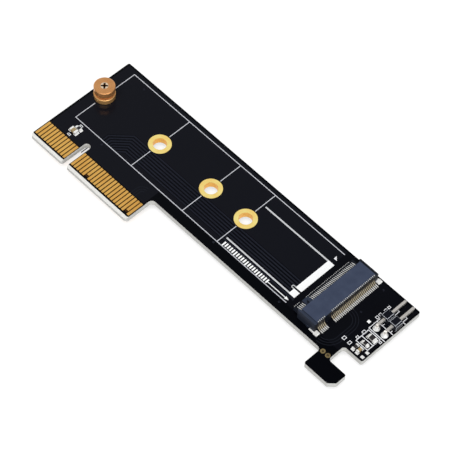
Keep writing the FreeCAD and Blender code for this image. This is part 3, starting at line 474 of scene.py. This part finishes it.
def lay_track(shape, path, width, height, z=0.0):
    """A short edge swept along a line of (x, y) points in millimetres, then raised off the face."""
    points = [on_card(x, y, z) for x, y in path]
    headings = [math.atan2(b.y - a.y, b.x - a.x) for a, b in zip(points, points[1:])]
    across = Matrix.Rotation(headings[0], 3, "Z") @ Vector((0, width / 2 * MM, 0))
    rim = [shape.verts.new(points[0] + across), shape.verts.new(points[0] - across)]
    front = shape.edges.new(rim)
    faced = headings[0]
    strip = []
    for i in range(1, len(points)):
        grown = bmesh.ops.extrude_edge_only(shape, edges=[front])["geom"]
        rim = of_kind(grown, bmesh.types.BMVert)
        front = next(e for e in of_kind(grown, bmesh.types.BMEdge) if set(e.verts) == set(rim))
        strip += of_kind(grown, bmesh.types.BMFace)
        bmesh.ops.translate(shape, verts=rim, vec=points[i] - points[i - 1])
        ahead = headings[min(i, len(headings) - 1)]
        bisector = headings[i - 1] + math.remainder(ahead - headings[i - 1], math.tau) / 2
        bend = Matrix.Rotation(bisector - faced, 3, "Z")
        bmesh.ops.rotate(shape, verts=rim, cent=points[i], matrix=bend)
        faced = bisector
    raised = bmesh.ops.extrude_face_region(shape, geom=strip, use_keep_orig=True)["geom"]
    bmesh.ops.translate(shape, verts=of_kind(raised, bmesh.types.BMVert), vec=(0, 0, height * MM))


def arc(x, y, radius, start, end, steps=10):
    """Points along an arc about a centre, in degrees."""
    angles = [math.radians(start + (end - start) * i / steps) for i in range(steps + 1)]
    return [(x + radius * math.cos(a), y + radius * math.sin(a)) for a in angles]


track_finish = mask_finish("mask_over_tracks", MASK_ON_TRACK, MASK_ON_TRACK_DARK)
gap_finish = mask_finish("mask_over_gaps", MASK_BARE, MASK_BARE, specular=GAP_SPECULAR)


def lane_path(shift):
    """Route of a track under the drive: up from the tongue, aslant, and on to the connector."""
    foot_x, foot_y = LANE_FOOT
    foot_x += shift
    y = FIRST_LANE_Y - shift
    bend_x = LANE_BEND_X + shift * math.tan(LANE_BEND / 2)
    return [(foot_x, foot_y), (foot_x, y - bend_x + foot_x), (bend_x, y),
            (LANE_END_X + LANE_END_STEP * shift, y)]


tracks = bmesh.new()
gaps = bmesh.new()
for lane in range(LANES):
    lay_track(gaps, lane_path(lane * LANE_STEP), GAP_WIDTH, GAP_HEIGHT)
    for half in (-0.5, 0.5):
        lay_track(tracks, lane_path(lane * LANE_STEP - half * PAIR_PITCH), TRACK_WIDTH, TRACK_HEIGHT)
make_piece("track_gaps", gaps, gap_finish)
make_piece("front_tracks", tracks, track_finish)

LOOPS = 3
LOOP_STEP = 0.7
SLOT_TURN_START = (-54.2, -15.1)
SLOT_TURN_CENTRE = (-52.0, -13.3)
SLOT_TURN_RADIUS = 2.2
CORNER_TURN_NEAR = (5.2, -7.6)
CORNER_TURN_FAR = (5.2, -3.5)
CORNER_TURN_RADIUS = 2.7
loop_finish = mask_finish("mask_over_loops", MASK_ON_LOOP, MASK_ON_LOOP)
tracks = bmesh.new()
for lane in range(LOOPS):
    out = LOOP_STEP * lane
    start_x, start_y = SLOT_TURN_START
    path = [(start_x + out, start_y)] + arc(*SLOT_TURN_CENTRE, SLOT_TURN_RADIUS - out, 180, 90)
    lay_track(tracks, path, TRACK_WIDTH, TRACK_HEIGHT)
    radius = CORNER_TURN_RADIUS + out
    path = arc(*CORNER_TURN_NEAR, radius, -90, 0) + arc(*CORNER_TURN_FAR, radius, 0, 90)
    lay_track(tracks, path, TRACK_WIDTH, TRACK_HEIGHT)
make_piece("loop_tracks", tracks, loop_finish)

# Each bend of the first thin line on the back: its x and y, and how far each next line's bend is
# from it in x and in y.
BACK_LANES = 9
BACK_BENDS = ((-80.0, -15.0, 2.0, 0.0), (-80.0, -12.0, 2.0, LANE_STEP), (-77.0, -9.0, 2.0, LANE_STEP),
              (-14.0, -9.0, 0.5, LANE_STEP), (-8.0, -3.0, 0.5, LANE_STEP))
BACK_WIDTH = 0.25
WIDE_PATHS = (((8.0, 0.8), (8.0, 6.0), (3.0, 11.0)), ((12.0, 0.8), (12.0, 6.0), (7.0, 9.0)))
WIDE_WIDTH = 0.6
tracks = bmesh.new()
for lane in range(BACK_LANES):
    path = [(x + x_step * lane, y + y_step * lane) for x, y, x_step, y_step in BACK_BENDS]
    lay_track(tracks, path, BACK_WIDTH, -TRACK_HEIGHT, -BOARD_THICKNESS)
for path in WIDE_PATHS:
    lay_track(tracks, path, WIDE_WIDTH, -TRACK_HEIGHT, -BOARD_THICKNESS)
make_piece("back_tracks", tracks, track_finish)

# ---- tented vias ----
# Small plated holes that join the two faces, closed by the mask, so each shows as a low dimpled dot.
VIA_OUTER = 0.28
VIA_INNER = 0.12
VIA_CROWN_OUTER = VIA_OUTER * 0.9
VIA_CROWN_INNER = VIA_INNER * 1.3
VIA_RISE = 0.02
VIA_STEPS = 16
LANE_VIA_X = -8.4
LANE_VIA_STEP = 0.35
LONE_VIAS = [(-30.4, -10.25), (-69.5, -10.5), (-8.0, -10.6), (6.3, 9.6), (6.9, 1.4), (-75.0, 8.6)]


def turn_ring(shape, x, y, section, steps):
    """A closed section of (radius, z) points in millimetres, spun round an upright axis."""
    rim = [shape.verts.new(on_card(x + radius, y, z)) for radius, z in section]
    loop = [shape.edges.new(pair) for pair in zip(rim, rim[1:] + rim[:1])]
    bmesh.ops.spin(shape, geom=rim + loop, cent=on_card(x, y), axis=(0, 0, 1), angle=math.tau,
                   steps=steps, use_merge=True)


vias = bmesh.new()
lane_vias = [(LANE_VIA_X + LANE_VIA_STEP * lane, FIRST_LANE_Y - LANE_STEP * lane)
             for lane in range(LANES)]
for x, y in LONE_VIAS + lane_vias:
    for face, side in ((0.0, 1.0), (-BOARD_THICKNESS, -1.0)):
        crown = face + side * VIA_RISE
        section = [(VIA_INNER, face), (VIA_OUTER, face), (VIA_CROWN_OUTER, crown),
                   (VIA_CROWN_INNER, crown)]
        turn_ring(vias, x, y, section, VIA_STEPS)
make_piece("tented_vias", vias, track_finish)

# ---- gold contacts and plated holes ----
# Gold over nickel on copper: the slot contacts of both faces, and a ring round each module hole and
# hook via. The plating runs on down the wall of each hole as a thin sleeve.
SLEEVE_WALL = 0.03
RING_HEIGHT = 0.05
OPEN_HOLES_X = (-30.0, -42.0, -60.0)
OPEN_HOLE_RADIUS = 1.75
HOOK_VIAS_X = (8.3, 9.9)
HOOK_VIAS_Y = -12.65
HOOK_VIA_RADIUS = 0.3
METAL_BUMP = 0.0012
gold_finish = finish("gold_plating", light=(1.0, 0.58, 0.14), dark=(0.96, 0.51, 0.11),
                     blotch_scale=350.0, rough=(0.34, 0.46), grain_scale=3500.0,
                     bump=METAL_BUMP, metal=0.80)
ring_finish = finish("gold_rings", light=(1.0, 0.84, 0.29), dark=(1.0, 0.70, 0.19),
                     blotch_scale=350.0, rough=(0.30, 0.42), grain_scale=3500.0,
                     bump=METAL_BUMP, metal=0.4)
dull_gold_finish = finish("dull_gold", light=(0.25, 0.19, 0.085), dark=(0.17, 0.125, 0.055),
                          blotch_scale=900.0, rough=(0.36, 0.48), grain_scale=3500.0,
                          bump=METAL_BUMP, metal=0.5)
for node in ("edge_contacts_front", "edge_contacts_back"):
    dress(node, gold_finish)
dress("hook_vias", dull_gold_finish)
for node in ("hole_plating_2230", "hole_plating_2242", "hole_plating_2260", "hole_plating_2280"):
    dress(node, ring_finish)


def sleeve(shape, x, y, radius, steps):
    """Thin plated lining of a drilled hole, from the top of one ring to that of the other."""
    low, high = -BOARD_THICKNESS - RING_HEIGHT, RING_HEIGHT
    bore = radius - SLEEVE_WALL
    turn_ring(shape, x, y, [(radius, low), (radius, high), (bore, high), (bore, low)], steps)


sleeves = bmesh.new()
for x in OPEN_HOLES_X:
    sleeve(sleeves, x, 0.0, OPEN_HOLE_RADIUS, steps=72)
make_piece("hole_sleeves", sleeves, gold_finish)
hook_sleeves = bmesh.new()
for x in HOOK_VIAS_X:
    sleeve(hook_sleeves, x, HOOK_VIAS_Y, HOOK_VIA_RADIUS, steps=32)
make_piece("hook_sleeves", hook_sleeves, dull_gold_finish)

# ---- standoff ----
# Turned from copper-coloured brass and left with the fine rings of the lathe. The flanged post is
# clamped by a nut under the board; a low screw with a cross recess closes it.
RECESS_RADIUS = 1.0
RECESS_START = 0.12
RECESS_LIP = 0.26
LATHE_SCALE = 9000.0
COPPER_LIGHT = (0.80, 0.385, 0.145)
COPPER_DARK = (0.74, 0.34, 0.12)
# The post and nut take a paler copper than the screw: a painted highlight standing in for the bright
# flanks of the post.
POST_HIGHLIT_LIGHT = (0.92, 0.53, 0.20)
POST_HIGHLIT_DARK = (0.84, 0.46, 0.165)
# A painted highlight round the lip of the screw's recess, and painted shade on the recess floor.
RECESS_LIP_HIGHLIGHT = (1.0, 0.80, 0.58)
RECESS_FLOOR_SHADE = (0.035, 0.014, 0.007)

lathe_group, start, stop = node_group(
    "lathe_rings", [("AxisX", FLOAT, 0.0), ("AxisY", FLOAT, 0.0), ("Scale", FLOAT, LATHE_SCALE)],
    [("Height", FLOAT), ("Radius", FLOAT)])
place = split_xyz(lathe_group, lathe_group.nodes.new("ShaderNodeTexCoord").outputs["Object"])
off_x = sum_up(lathe_group, "SUBTRACT", place["X"], start.outputs["AxisX"])
off_y = sum_up(lathe_group, "SUBTRACT", place["Y"], start.outputs["AxisY"])
square = sum_up(lathe_group, "ADD", sum_up(lathe_group, "MULTIPLY", off_x, off_x),
                sum_up(lathe_group, "MULTIPLY", off_y, off_y))
radius = sum_up(lathe_group, "SQRT", square)
ringed = lathe_group.nodes.new("ShaderNodeCombineXYZ")
lathe_group.links.new(radius, ringed.inputs["X"])
lathe_group.links.new(place["Z"], ringed.inputs["Y"])
noise = lathe_group.nodes.new("ShaderNodeTexNoise")
noise.inputs["Detail"].default_value = 2.0
lathe_group.links.new(ringed.outputs[0], noise.inputs["Vector"])
lathe_group.links.new(start.outputs["Scale"], noise.inputs["Scale"])
lathe_group.links.new(noise.outputs["Fac"], stop.inputs["Height"])
lathe_group.links.new(radius, stop.inputs["Radius"])

screw_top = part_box("standoff_screw")[1].z


def turned_copper(name, light, dark, recessed):
    """Lathe-turned brass; on the screw, a painted highlight rings the lip of its recess and painted
    shade fills its floor.
    """
    material, tree, shader = new_material(name)
    rings = use_group(tree, lathe_group,
                      {"AxisX": far_hole.x, "AxisY": far_hole.y, "Scale": LATHE_SCALE})
    colour = blotches(tree, 500.0, light, dark)
    if recessed:
        place = split_xyz(tree, tree.nodes.new("ShaderNodeTexCoord").outputs["Object"])
        below = sum_up(tree, "LESS_THAN", place["Z"], screw_top - RECESS_START * MM)
        within = sum_up(tree, "LESS_THAN", rings["Radius"], RECESS_RADIUS * MM)
        # Painted highlight on the recess's lip, then painted shade on its floor.
        lip_highlight = sum_up(tree, "COMPARE", rings["Radius"], (RECESS_RADIUS - RECESS_LIP) * MM,
                     RECESS_LIP * MM)
        colour = mix_colour(tree, lip_highlight, colour, RECESS_LIP_HIGHLIGHT)
        colour = mix_colour(tree, sum_up(tree, "MULTIPLY", below, within), colour, RECESS_FLOOR_SHADE)
    tree.links.new(colour, shader.inputs["Base Color"])
    level = ramp(tree, rings["Height"], NOISE_LOW, NOISE_HIGH, at_low=0.26, at_high=0.36)
    tree.links.new(level, shader.inputs["Roughness"])
    raise_grain(tree, rings["Height"], METAL_BUMP, shader)
    shader.inputs["Metallic"].default_value = 0.70
    return material


# Post and nut get the paler copper, painted as a highlight.
highlit_copper_finish = turned_copper("turned_copper_brass_highlit", POST_HIGHLIT_LIGHT, POST_HIGHLIT_DARK, False)
for node in ("standoff_post", "standoff_nut"):
    dress(node, highlit_copper_finish)
dress("standoff_screw", turned_copper("turned_copper_screw", COPPER_LIGHT, COPPER_DARK, True))

# ---- drive connector ----
# Moulded glass-filled polymer, near black and satin, with a painted blue-grey sheen on its upward
# faces, painted light on its near end and painted shade in its comb. Sprung copper-alloy contacts are
# pressed in from both sides.
# Painted sheen for the top and shelf, painted light for the near end; MOULD_SIDE is the moulding's own
# near black, kept on the comb's upward faces as painted shade.
MOULD_TOP_SHEEN_LIGHT = (0.043, 0.056, 0.095)
MOULD_TOP_SHEEN_DARK = (0.035, 0.046, 0.081)
MOULD_SHELF_SHEEN = (0.026, 0.034, 0.056)
MOULD_NEAR_LIT = (0.016, 0.020, 0.032)
MOULD_SIDE = (0.006, 0.0075, 0.012)
MOULD_BUMP = 0.003
CROWN_AREA = (-1.9, 3.5, -9.7, 9.7)
SHELF_AREA = (-2.4, 3.5, -11.0, 9.7)
KEY_GAP_AREA = (-4.2, -1.9, -7.1, -5.15)
CROWN_EDGE = 0.1
KEY_GAP_EDGE = 0.05
NEAR_FACE = -0.6

connector_finish, tree, shader = new_material("moulded_connector")
facing = direction_faced(tree)
# Upward faces of the top and shelf get the painted sheen; elsewhere they stay near black as painted
# shade.
lit = ramp(tree, facing["Z"], low=0.80, high=0.98, at_low=0.0, at_high=1.0)
shelf_sheen = sum_up(tree, "MULTIPLY", lit, inside_area(tree, SHELF_AREA, CROWN_EDGE))
key_gap = sum_up(tree, "MULTIPLY", lit, inside_area(tree, KEY_GAP_AREA, KEY_GAP_EDGE))
shelf_sheen = sum_up(tree, "MAXIMUM", shelf_sheen, key_gap)
crown = sum_up(tree, "MULTIPLY", lit, inside_area(tree, CROWN_AREA, CROWN_EDGE))
lit_near_face = sum_up(tree, "LESS_THAN", facing["Y"], NEAR_FACE)
tone = mix_colour(tree, lit_near_face, MOULD_SIDE, MOULD_NEAR_LIT)
tone = mix_colour(tree, shelf_sheen, tone, MOULD_SHELF_SHEEN)
tone = mix_colour(tree, crown, tone, blotches(tree, 420.0, MOULD_TOP_SHEEN_LIGHT, MOULD_TOP_SHEEN_DARK))
tree.links.new(tone, shader.inputs["Base Color"])
add_grain(tree, shader, scale=7000.0, rough=(0.42, 0.55), bump=MOULD_BUMP, specular=0.12)
dress("connector_housing", connector_finish)

contact_finish = finish("contact_alloy", light=(0.88, 0.76, 0.55), dark=(0.72, 0.61, 0.42),
                        blotch_scale=900.0, rough=(0.26, 0.38), grain_scale=5000.0,
                        bump=0.001, metal=0.8)
bright_contact_finish = finish("plated_contacts", light=(0.76, 0.755, 0.73), dark=(0.66, 0.655, 0.63),
                               blotch_scale=900.0, rough=(0.26, 0.38), grain_scale=5000.0,
                               bump=0.001, metal=0.7)
tin_finish = finish("bright_tin", light=(0.97, 0.97, 0.96), dark=(0.86, 0.86, 0.84),
                    blotch_scale=1200.0, rough=(0.20, 0.34), grain_scale=4000.0,
                    bump=0.002, metal=0.3)
dress("connector_upper_contacts", contact_finish)
dress("connector_lower_contacts", bright_contact_finish)
for node in ("connector_tab_near", "connector_tab_far", "connector_pads"):
    dress(node, tin_finish)

REAR_FACE_X = 3.4
LIP_FRONT_X = -4.1
HOUSING_TOP = 3.2
REAR_CONTACTS = 38
FRONT_CONTACTS = 37
CONTACT_PITCH = 0.5
CONTACT_WIDTH = 0.2
KEY_Y = -6.125
KEY_CLEAR = 1.0


def block(shape, x, y, z, draft=0.0):
    """A block between two x, two y and two z, in millimetres, its top drawn in by a draft."""
    middle = on_card(sum(x) / 2, sum(y) / 2, sum(z) / 2)
    size = Vector((x[1] - x[0], y[1] - y[0], z[1] - z[0])) * MM
    placed = Matrix.Translation(middle) @ Matrix.Diagonal((*size, 1))
    made = bmesh.ops.create_cube(shape, size=1.0, matrix=placed)
    top = [v for v in made["verts"] if v.co.z > middle.z]
    if draft:
        drawn = Vector(((size.x - 2 * draft * MM) / size.x, (size.y - 2 * draft * MM) / size.y, 1))
        bmesh.ops.scale(shape, verts=top, vec=drawn, space=Matrix.Translation(-middle))


def row_of_blocks(shape, count, x, width, z, draft):
    """A block at each contact of a row, except where the key displaces them."""
    for i in range(count):
        y = ((count - 1) / 2 - i) * CONTACT_PITCH
        if abs(y - KEY_Y) > KEY_CLEAR:
            block(shape, x, (y - width / 2, y + width / 2), z, draft)


# Each rear contact shows its crimped shoulder at the mouth of its channel, and each front one the
# turned-down tip of its spring behind the lip.
SHOULDER_X = (REAR_FACE_X - 0.36, REAR_FACE_X - 0.04)
SHOULDER_Z = (2.82, HOUSING_TOP - 0.04)
TIP_X = (LIP_FRONT_X + 0.4, LIP_FRONT_X + 0.82)
TIP_Z = (1.02, 1.14)
shoulders = bmesh.new()
row_of_blocks(shoulders, REAR_CONTACTS, SHOULDER_X, CONTACT_WIDTH, SHOULDER_Z, draft=0.03)
row_of_blocks(shoulders, FRONT_CONTACTS, TIP_X, CONTACT_WIDTH, TIP_Z, draft=0.02)
# The shoulders and tips take the bright tin rather than the contacts' alloy: real shoulders, with a
# painted highlight that makes them read as bright ticks.
make_piece("contact_shoulders", shoulders, tin_finish)

# Reflowed solder covers each foot on its pad, with one small bead at each hold-down tab.
SOLDER_WIDTH = 0.24
REAR_SOLDER_X = (REAR_FACE_X + 0.62, REAR_FACE_X + 1.48)
REAR_SOLDER_Z = (0.02, 0.24)
FRONT_SOLDER_X = (LIP_FRONT_X - 0.58, LIP_FRONT_X - 0.03)
FRONT_SOLDER_Z = (0.02, 0.23)
TAB_SOLDER_X = (REAR_FACE_X + 0.05, REAR_FACE_X + 1.2)
TAB_SOLDER_Z = (0.03, 0.24)
fillets = bmesh.new()
row_of_blocks(fillets, REAR_CONTACTS, REAR_SOLDER_X, SOLDER_WIDTH, REAR_SOLDER_Z, draft=0.03)
row_of_blocks(fillets, FRONT_CONTACTS, FRONT_SOLDER_X, SOLDER_WIDTH, FRONT_SOLDER_Z, draft=0.03)
for tab_end in ((-11.1, -10.95), (10.95, 11.1)):
    block(fillets, TAB_SOLDER_X, tab_end, TAB_SOLDER_Z, draft=0.02)
make_piece("foot_solder", fillets, tin_finish)

# The rims of two round ejector marks stand on the top of the moulding.
EJECTOR_X = 0.9
EJECTORS_Y = (-7.6, 7.6)
EJECTOR_OUTER = 0.5
EJECTOR_INNER = 0.42
RIM_LOW = HOUSING_TOP - 0.02
RIM_HIGH = HOUSING_TOP + 0.008
marks = bmesh.new()
for y in EJECTORS_Y:
    section = [(EJECTOR_INNER, RIM_LOW), (EJECTOR_OUTER, RIM_LOW), (EJECTOR_OUTER, RIM_HIGH),
               (EJECTOR_INNER, RIM_HIGH)]
    turn_ring(marks, EJECTOR_X, y, section, steps=24)
make_piece("ejector_marks", marks, connector_finish)

# ---- angled header ----
# A black nylon moulding, its edges softened by the tool and painted pale along them as highlights,
# pressed onto two square tinned-brass pins.
# The bent legs stand in plated holes, in full cones of solder.
EDGE_ANGLE = 30.0
EDGE_WIDTH = 0.07
SQUARE_FACE = 0.99
SLANTED_FACE = 0.75
NYLON_FACE = (0.0040, 0.0047, 0.0085)
# Pale grey painted on the bevelled edges as a highlight.
NYLON_EDGE_HIGHLIGHT = (0.42, 0.44, 0.48)
header_finish, tree, shader = new_material("black_nylon")
facing = direction_faced(tree)
squareness = sum_up(tree, "MAXIMUM", sum_up(tree, "ABSOLUTE", facing["X"]),
                    sum_up(tree, "ABSOLUTE", facing["Y"]))
squareness = sum_up(tree, "MAXIMUM", squareness, sum_up(tree, "ABSOLUTE", facing["Z"]))
# The narrow bevels of the softened edges are painted pale as highlights.
edge_highlight = sum_up(tree, "MULTIPLY", sum_up(tree, "LESS_THAN", squareness, SQUARE_FACE),
                   sum_up(tree, "GREATER_THAN", squareness, SLANTED_FACE))
tree.links.new(mix_colour(tree, edge_highlight, NYLON_FACE, NYLON_EDGE_HIGHLIGHT), shader.inputs["Base Color"])
add_grain(tree, shader, scale=5000.0, rough=(0.34, 0.46), bump=MOULD_BUMP, specular=0.10)


def soften(node, offset, material, name):
    """A copy of a carried-over solid with rounded edges, which stands in for it."""
    shape = bmesh.new()
    shape.from_mesh(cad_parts[node].data)
    bmesh.ops.remove_doubles(shape, verts=shape.verts, dist=1e-7)
    bmesh.ops.dissolve_limit(shape, angle_limit=math.radians(1.0), verts=shape.verts,
                             edges=shape.edges)
    sharp = [e for e in shape.edges
             if e.is_manifold and e.calc_face_angle() > math.radians(EDGE_ANGLE)]
    bmesh.ops.bevel(shape, geom=sharp, offset=offset * MM, affect="EDGES", segments=2, profile=0.5,
                    material=-1, clamp_overlap=True)
    piece = make_piece(name, shape, material)
    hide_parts(node)


soften("header_insulator", EDGE_WIDTH, header_finish, "header_moulding")
pin_finish = finish("tinned_brass", light=(0.90, 0.86, 0.81), dark=(0.80, 0.76, 0.71),
                    blotch_scale=800.0, rough=(0.26, 0.36), grain_scale=4500.0,
                    bump=0.001, metal=0.7)
dress("header_pins", pin_finish)
dress("header_solder", tin_finish)
dress("header_hole_plating", tin_finish)

# ---- chip parts ----
# Fired ceramic blocks with tinned end caps, soldered flat on their pads. A resistor is white alumina
# with a dark glaze on its top; a capacitor is tan throughout.
GLAZE = (0.020, 0.017, 0.019)
ALUMINA = (0.62, 0.61, 0.58)
GLAZED_FACE = 0.9
capacitor_finish = finish("capacitor_ceramic", light=(0.36, 0.27, 0.14), dark=(0.28, 0.21, 0.10),
                          blotch_scale=1500.0, rough=(0.45, 0.60), grain_scale=6000.0, bump=0.002)
resistor_finish, tree, shader = new_material("glazed_alumina")
glazed = sum_up(tree, "GREATER_THAN", direction_faced(tree)["Z"], GLAZED_FACE)
tree.links.new(mix_colour(tree, glazed, ALUMINA, GLAZE), shader.inputs["Base Color"])
add_grain(tree, shader, scale=6000.0, rough=(0.25, 0.40), bump=0.002, specular=0.5)
for node in ("slot_capacitor_body", "bypass_capacitor_body"):
    dress(node, capacitor_finish)
for node in ("slot_resistor_body", "power_resistor_body", "signal_resistor_body",
             "bypass_resistor_body"):
    dress(node, resistor_finish)
for node in ("chip_pads", "chip_solder", "slot_capacitor_caps", "slot_resistor_caps",
             "power_resistor_caps", "signal_resistor_caps", "bypass_resistor_caps",
             "bypass_capacitor_caps"):
    dress(node, tin_finish)

# ---- white print ----
# Screen-printed epoxy ink, matt, with slightly uneven cover. Plain bars and boxes fill the places
# where such a card carries its lettering.
INK_HEIGHT = 0.03
INK_STROKE = 0.16
INK_GRAIN = 5000.0
INK_ROUGH = (0.60, 0.75)
INK_BUMP = 0.002
INK_SPECULAR = 0.3
INK_BOLD = (0.88, 0.89, 0.90)
INK_DRAWN = (0.52, 0.53, 0.55)
DRAWN_AREA = (-30.0, -8.2, -7.6, 6.4)


def ink(name, light, dark):
    """White ink that covers more in some places than in others."""
    return finish(name, light, dark, blotch_scale=1500.0, rough=INK_ROUGH, grain_scale=INK_GRAIN,
                  bump=INK_BUMP, specular=INK_SPECULAR)


ink_finish = ink("white_ink", light=(0.90, 0.91, 0.92), dark=(0.86, 0.87, 0.88))
dress("arrow_print", ink_finish)
outline_finish, tree, shader = new_material("white_ink_outline")
drawn = inside_area(tree, DRAWN_AREA, CUT_EDGE)
tree.links.new(mix_colour(tree, drawn, INK_BOLD, INK_DRAWN), shader.inputs["Base Color"])
add_grain(tree, shader, INK_GRAIN, INK_ROUGH, INK_BUMP, INK_SPECULAR)
dress("drive_outline_print", outline_finish)
thin_ink_finish = ink("thin_white_ink", light=(0.56, 0.57, 0.61), dark=(0.48, 0.49, 0.53))
dress("module_frame_print", thin_ink_finish)
worn_ink_finish = ink("worn_white_ink", light=(0.78, 0.79, 0.82), dark=(0.66, 0.67, 0.70))
for node in ("pin_mark_print", "part_outline_prints"):
    dress(node, worn_ink_finish)


def hollow_mark(shape, x, y, wide, tall):
    """A small printed box drawn with one stroke, centred on a point."""
    left, right, near, far = x - wide / 2, x + wide / 2, y - tall / 2, y + tall / 2
    for x0, x1 in ((left, left + INK_STROKE), (right - INK_STROKE, right)):
        block(shape, (x0, x1), (near, far), (0.0, INK_HEIGHT))
    for y0, y1 in ((near, near + INK_STROKE), (far - INK_STROKE, far)):
        block(shape, (left + INK_STROKE, right - INK_STROKE), (y0, y1), (0.0, INK_HEIGHT))


# A row of bars like those of a scale, with every fifth one taller, and one small square.
BARS = 20
BAR_START_X = -28.6
BAR_PITCH = 0.76
BAR_WIDTH = 0.4
BAR_TOP_Y = -8.05
BAR_TALL = 1.35
BAR_SHORT = 1.15
TALL_EVERY = 5
SQUARE_X = (9.62, 10.38)
SQUARE_Y = (0.47, 1.23)
bars = bmesh.new()
for i in range(BARS):
    x = BAR_START_X + BAR_PITCH * i
    tall = BAR_SHORT if i % TALL_EVERY else BAR_TALL
    block(bars, (x, x + BAR_WIDTH), (BAR_TOP_Y - tall, BAR_TOP_Y), (0.0, INK_HEIGHT))
block(bars, SQUARE_X, SQUARE_Y, (0.0, INK_HEIGHT))
make_piece("print_marks", bars, ink_finish)

# Small hollow boxes, where a card has the names of its parts: centre x and y, width and depth.
MARK_BOXES = ((9.15, -6.5, 0.9, 1.0), (10.9, -6.5, 0.8, 1.0), (11.2, -2.0, 0.9, 1.0),
              (11.1, -4.1, 0.7, 0.8), (15.7, -1.3, 0.6, 0.7), (10.5, 3.1, 0.8, 0.8),
              (10.5, 4.2, 0.8, 0.8), (10.5, 6.0, 0.7, 0.8), (10.5, 7.1, 0.7, 0.8),
              (-77.0, -10.45, 0.9, 0.6), (-77.2, -14.25, 0.9, 0.6))
boxes = bmesh.new()
for x, y, wide, tall in MARK_BOXES:
    hollow_mark(boxes, x, y, wide, tall)
make_piece("print_boxes", boxes, worn_ink_finish)
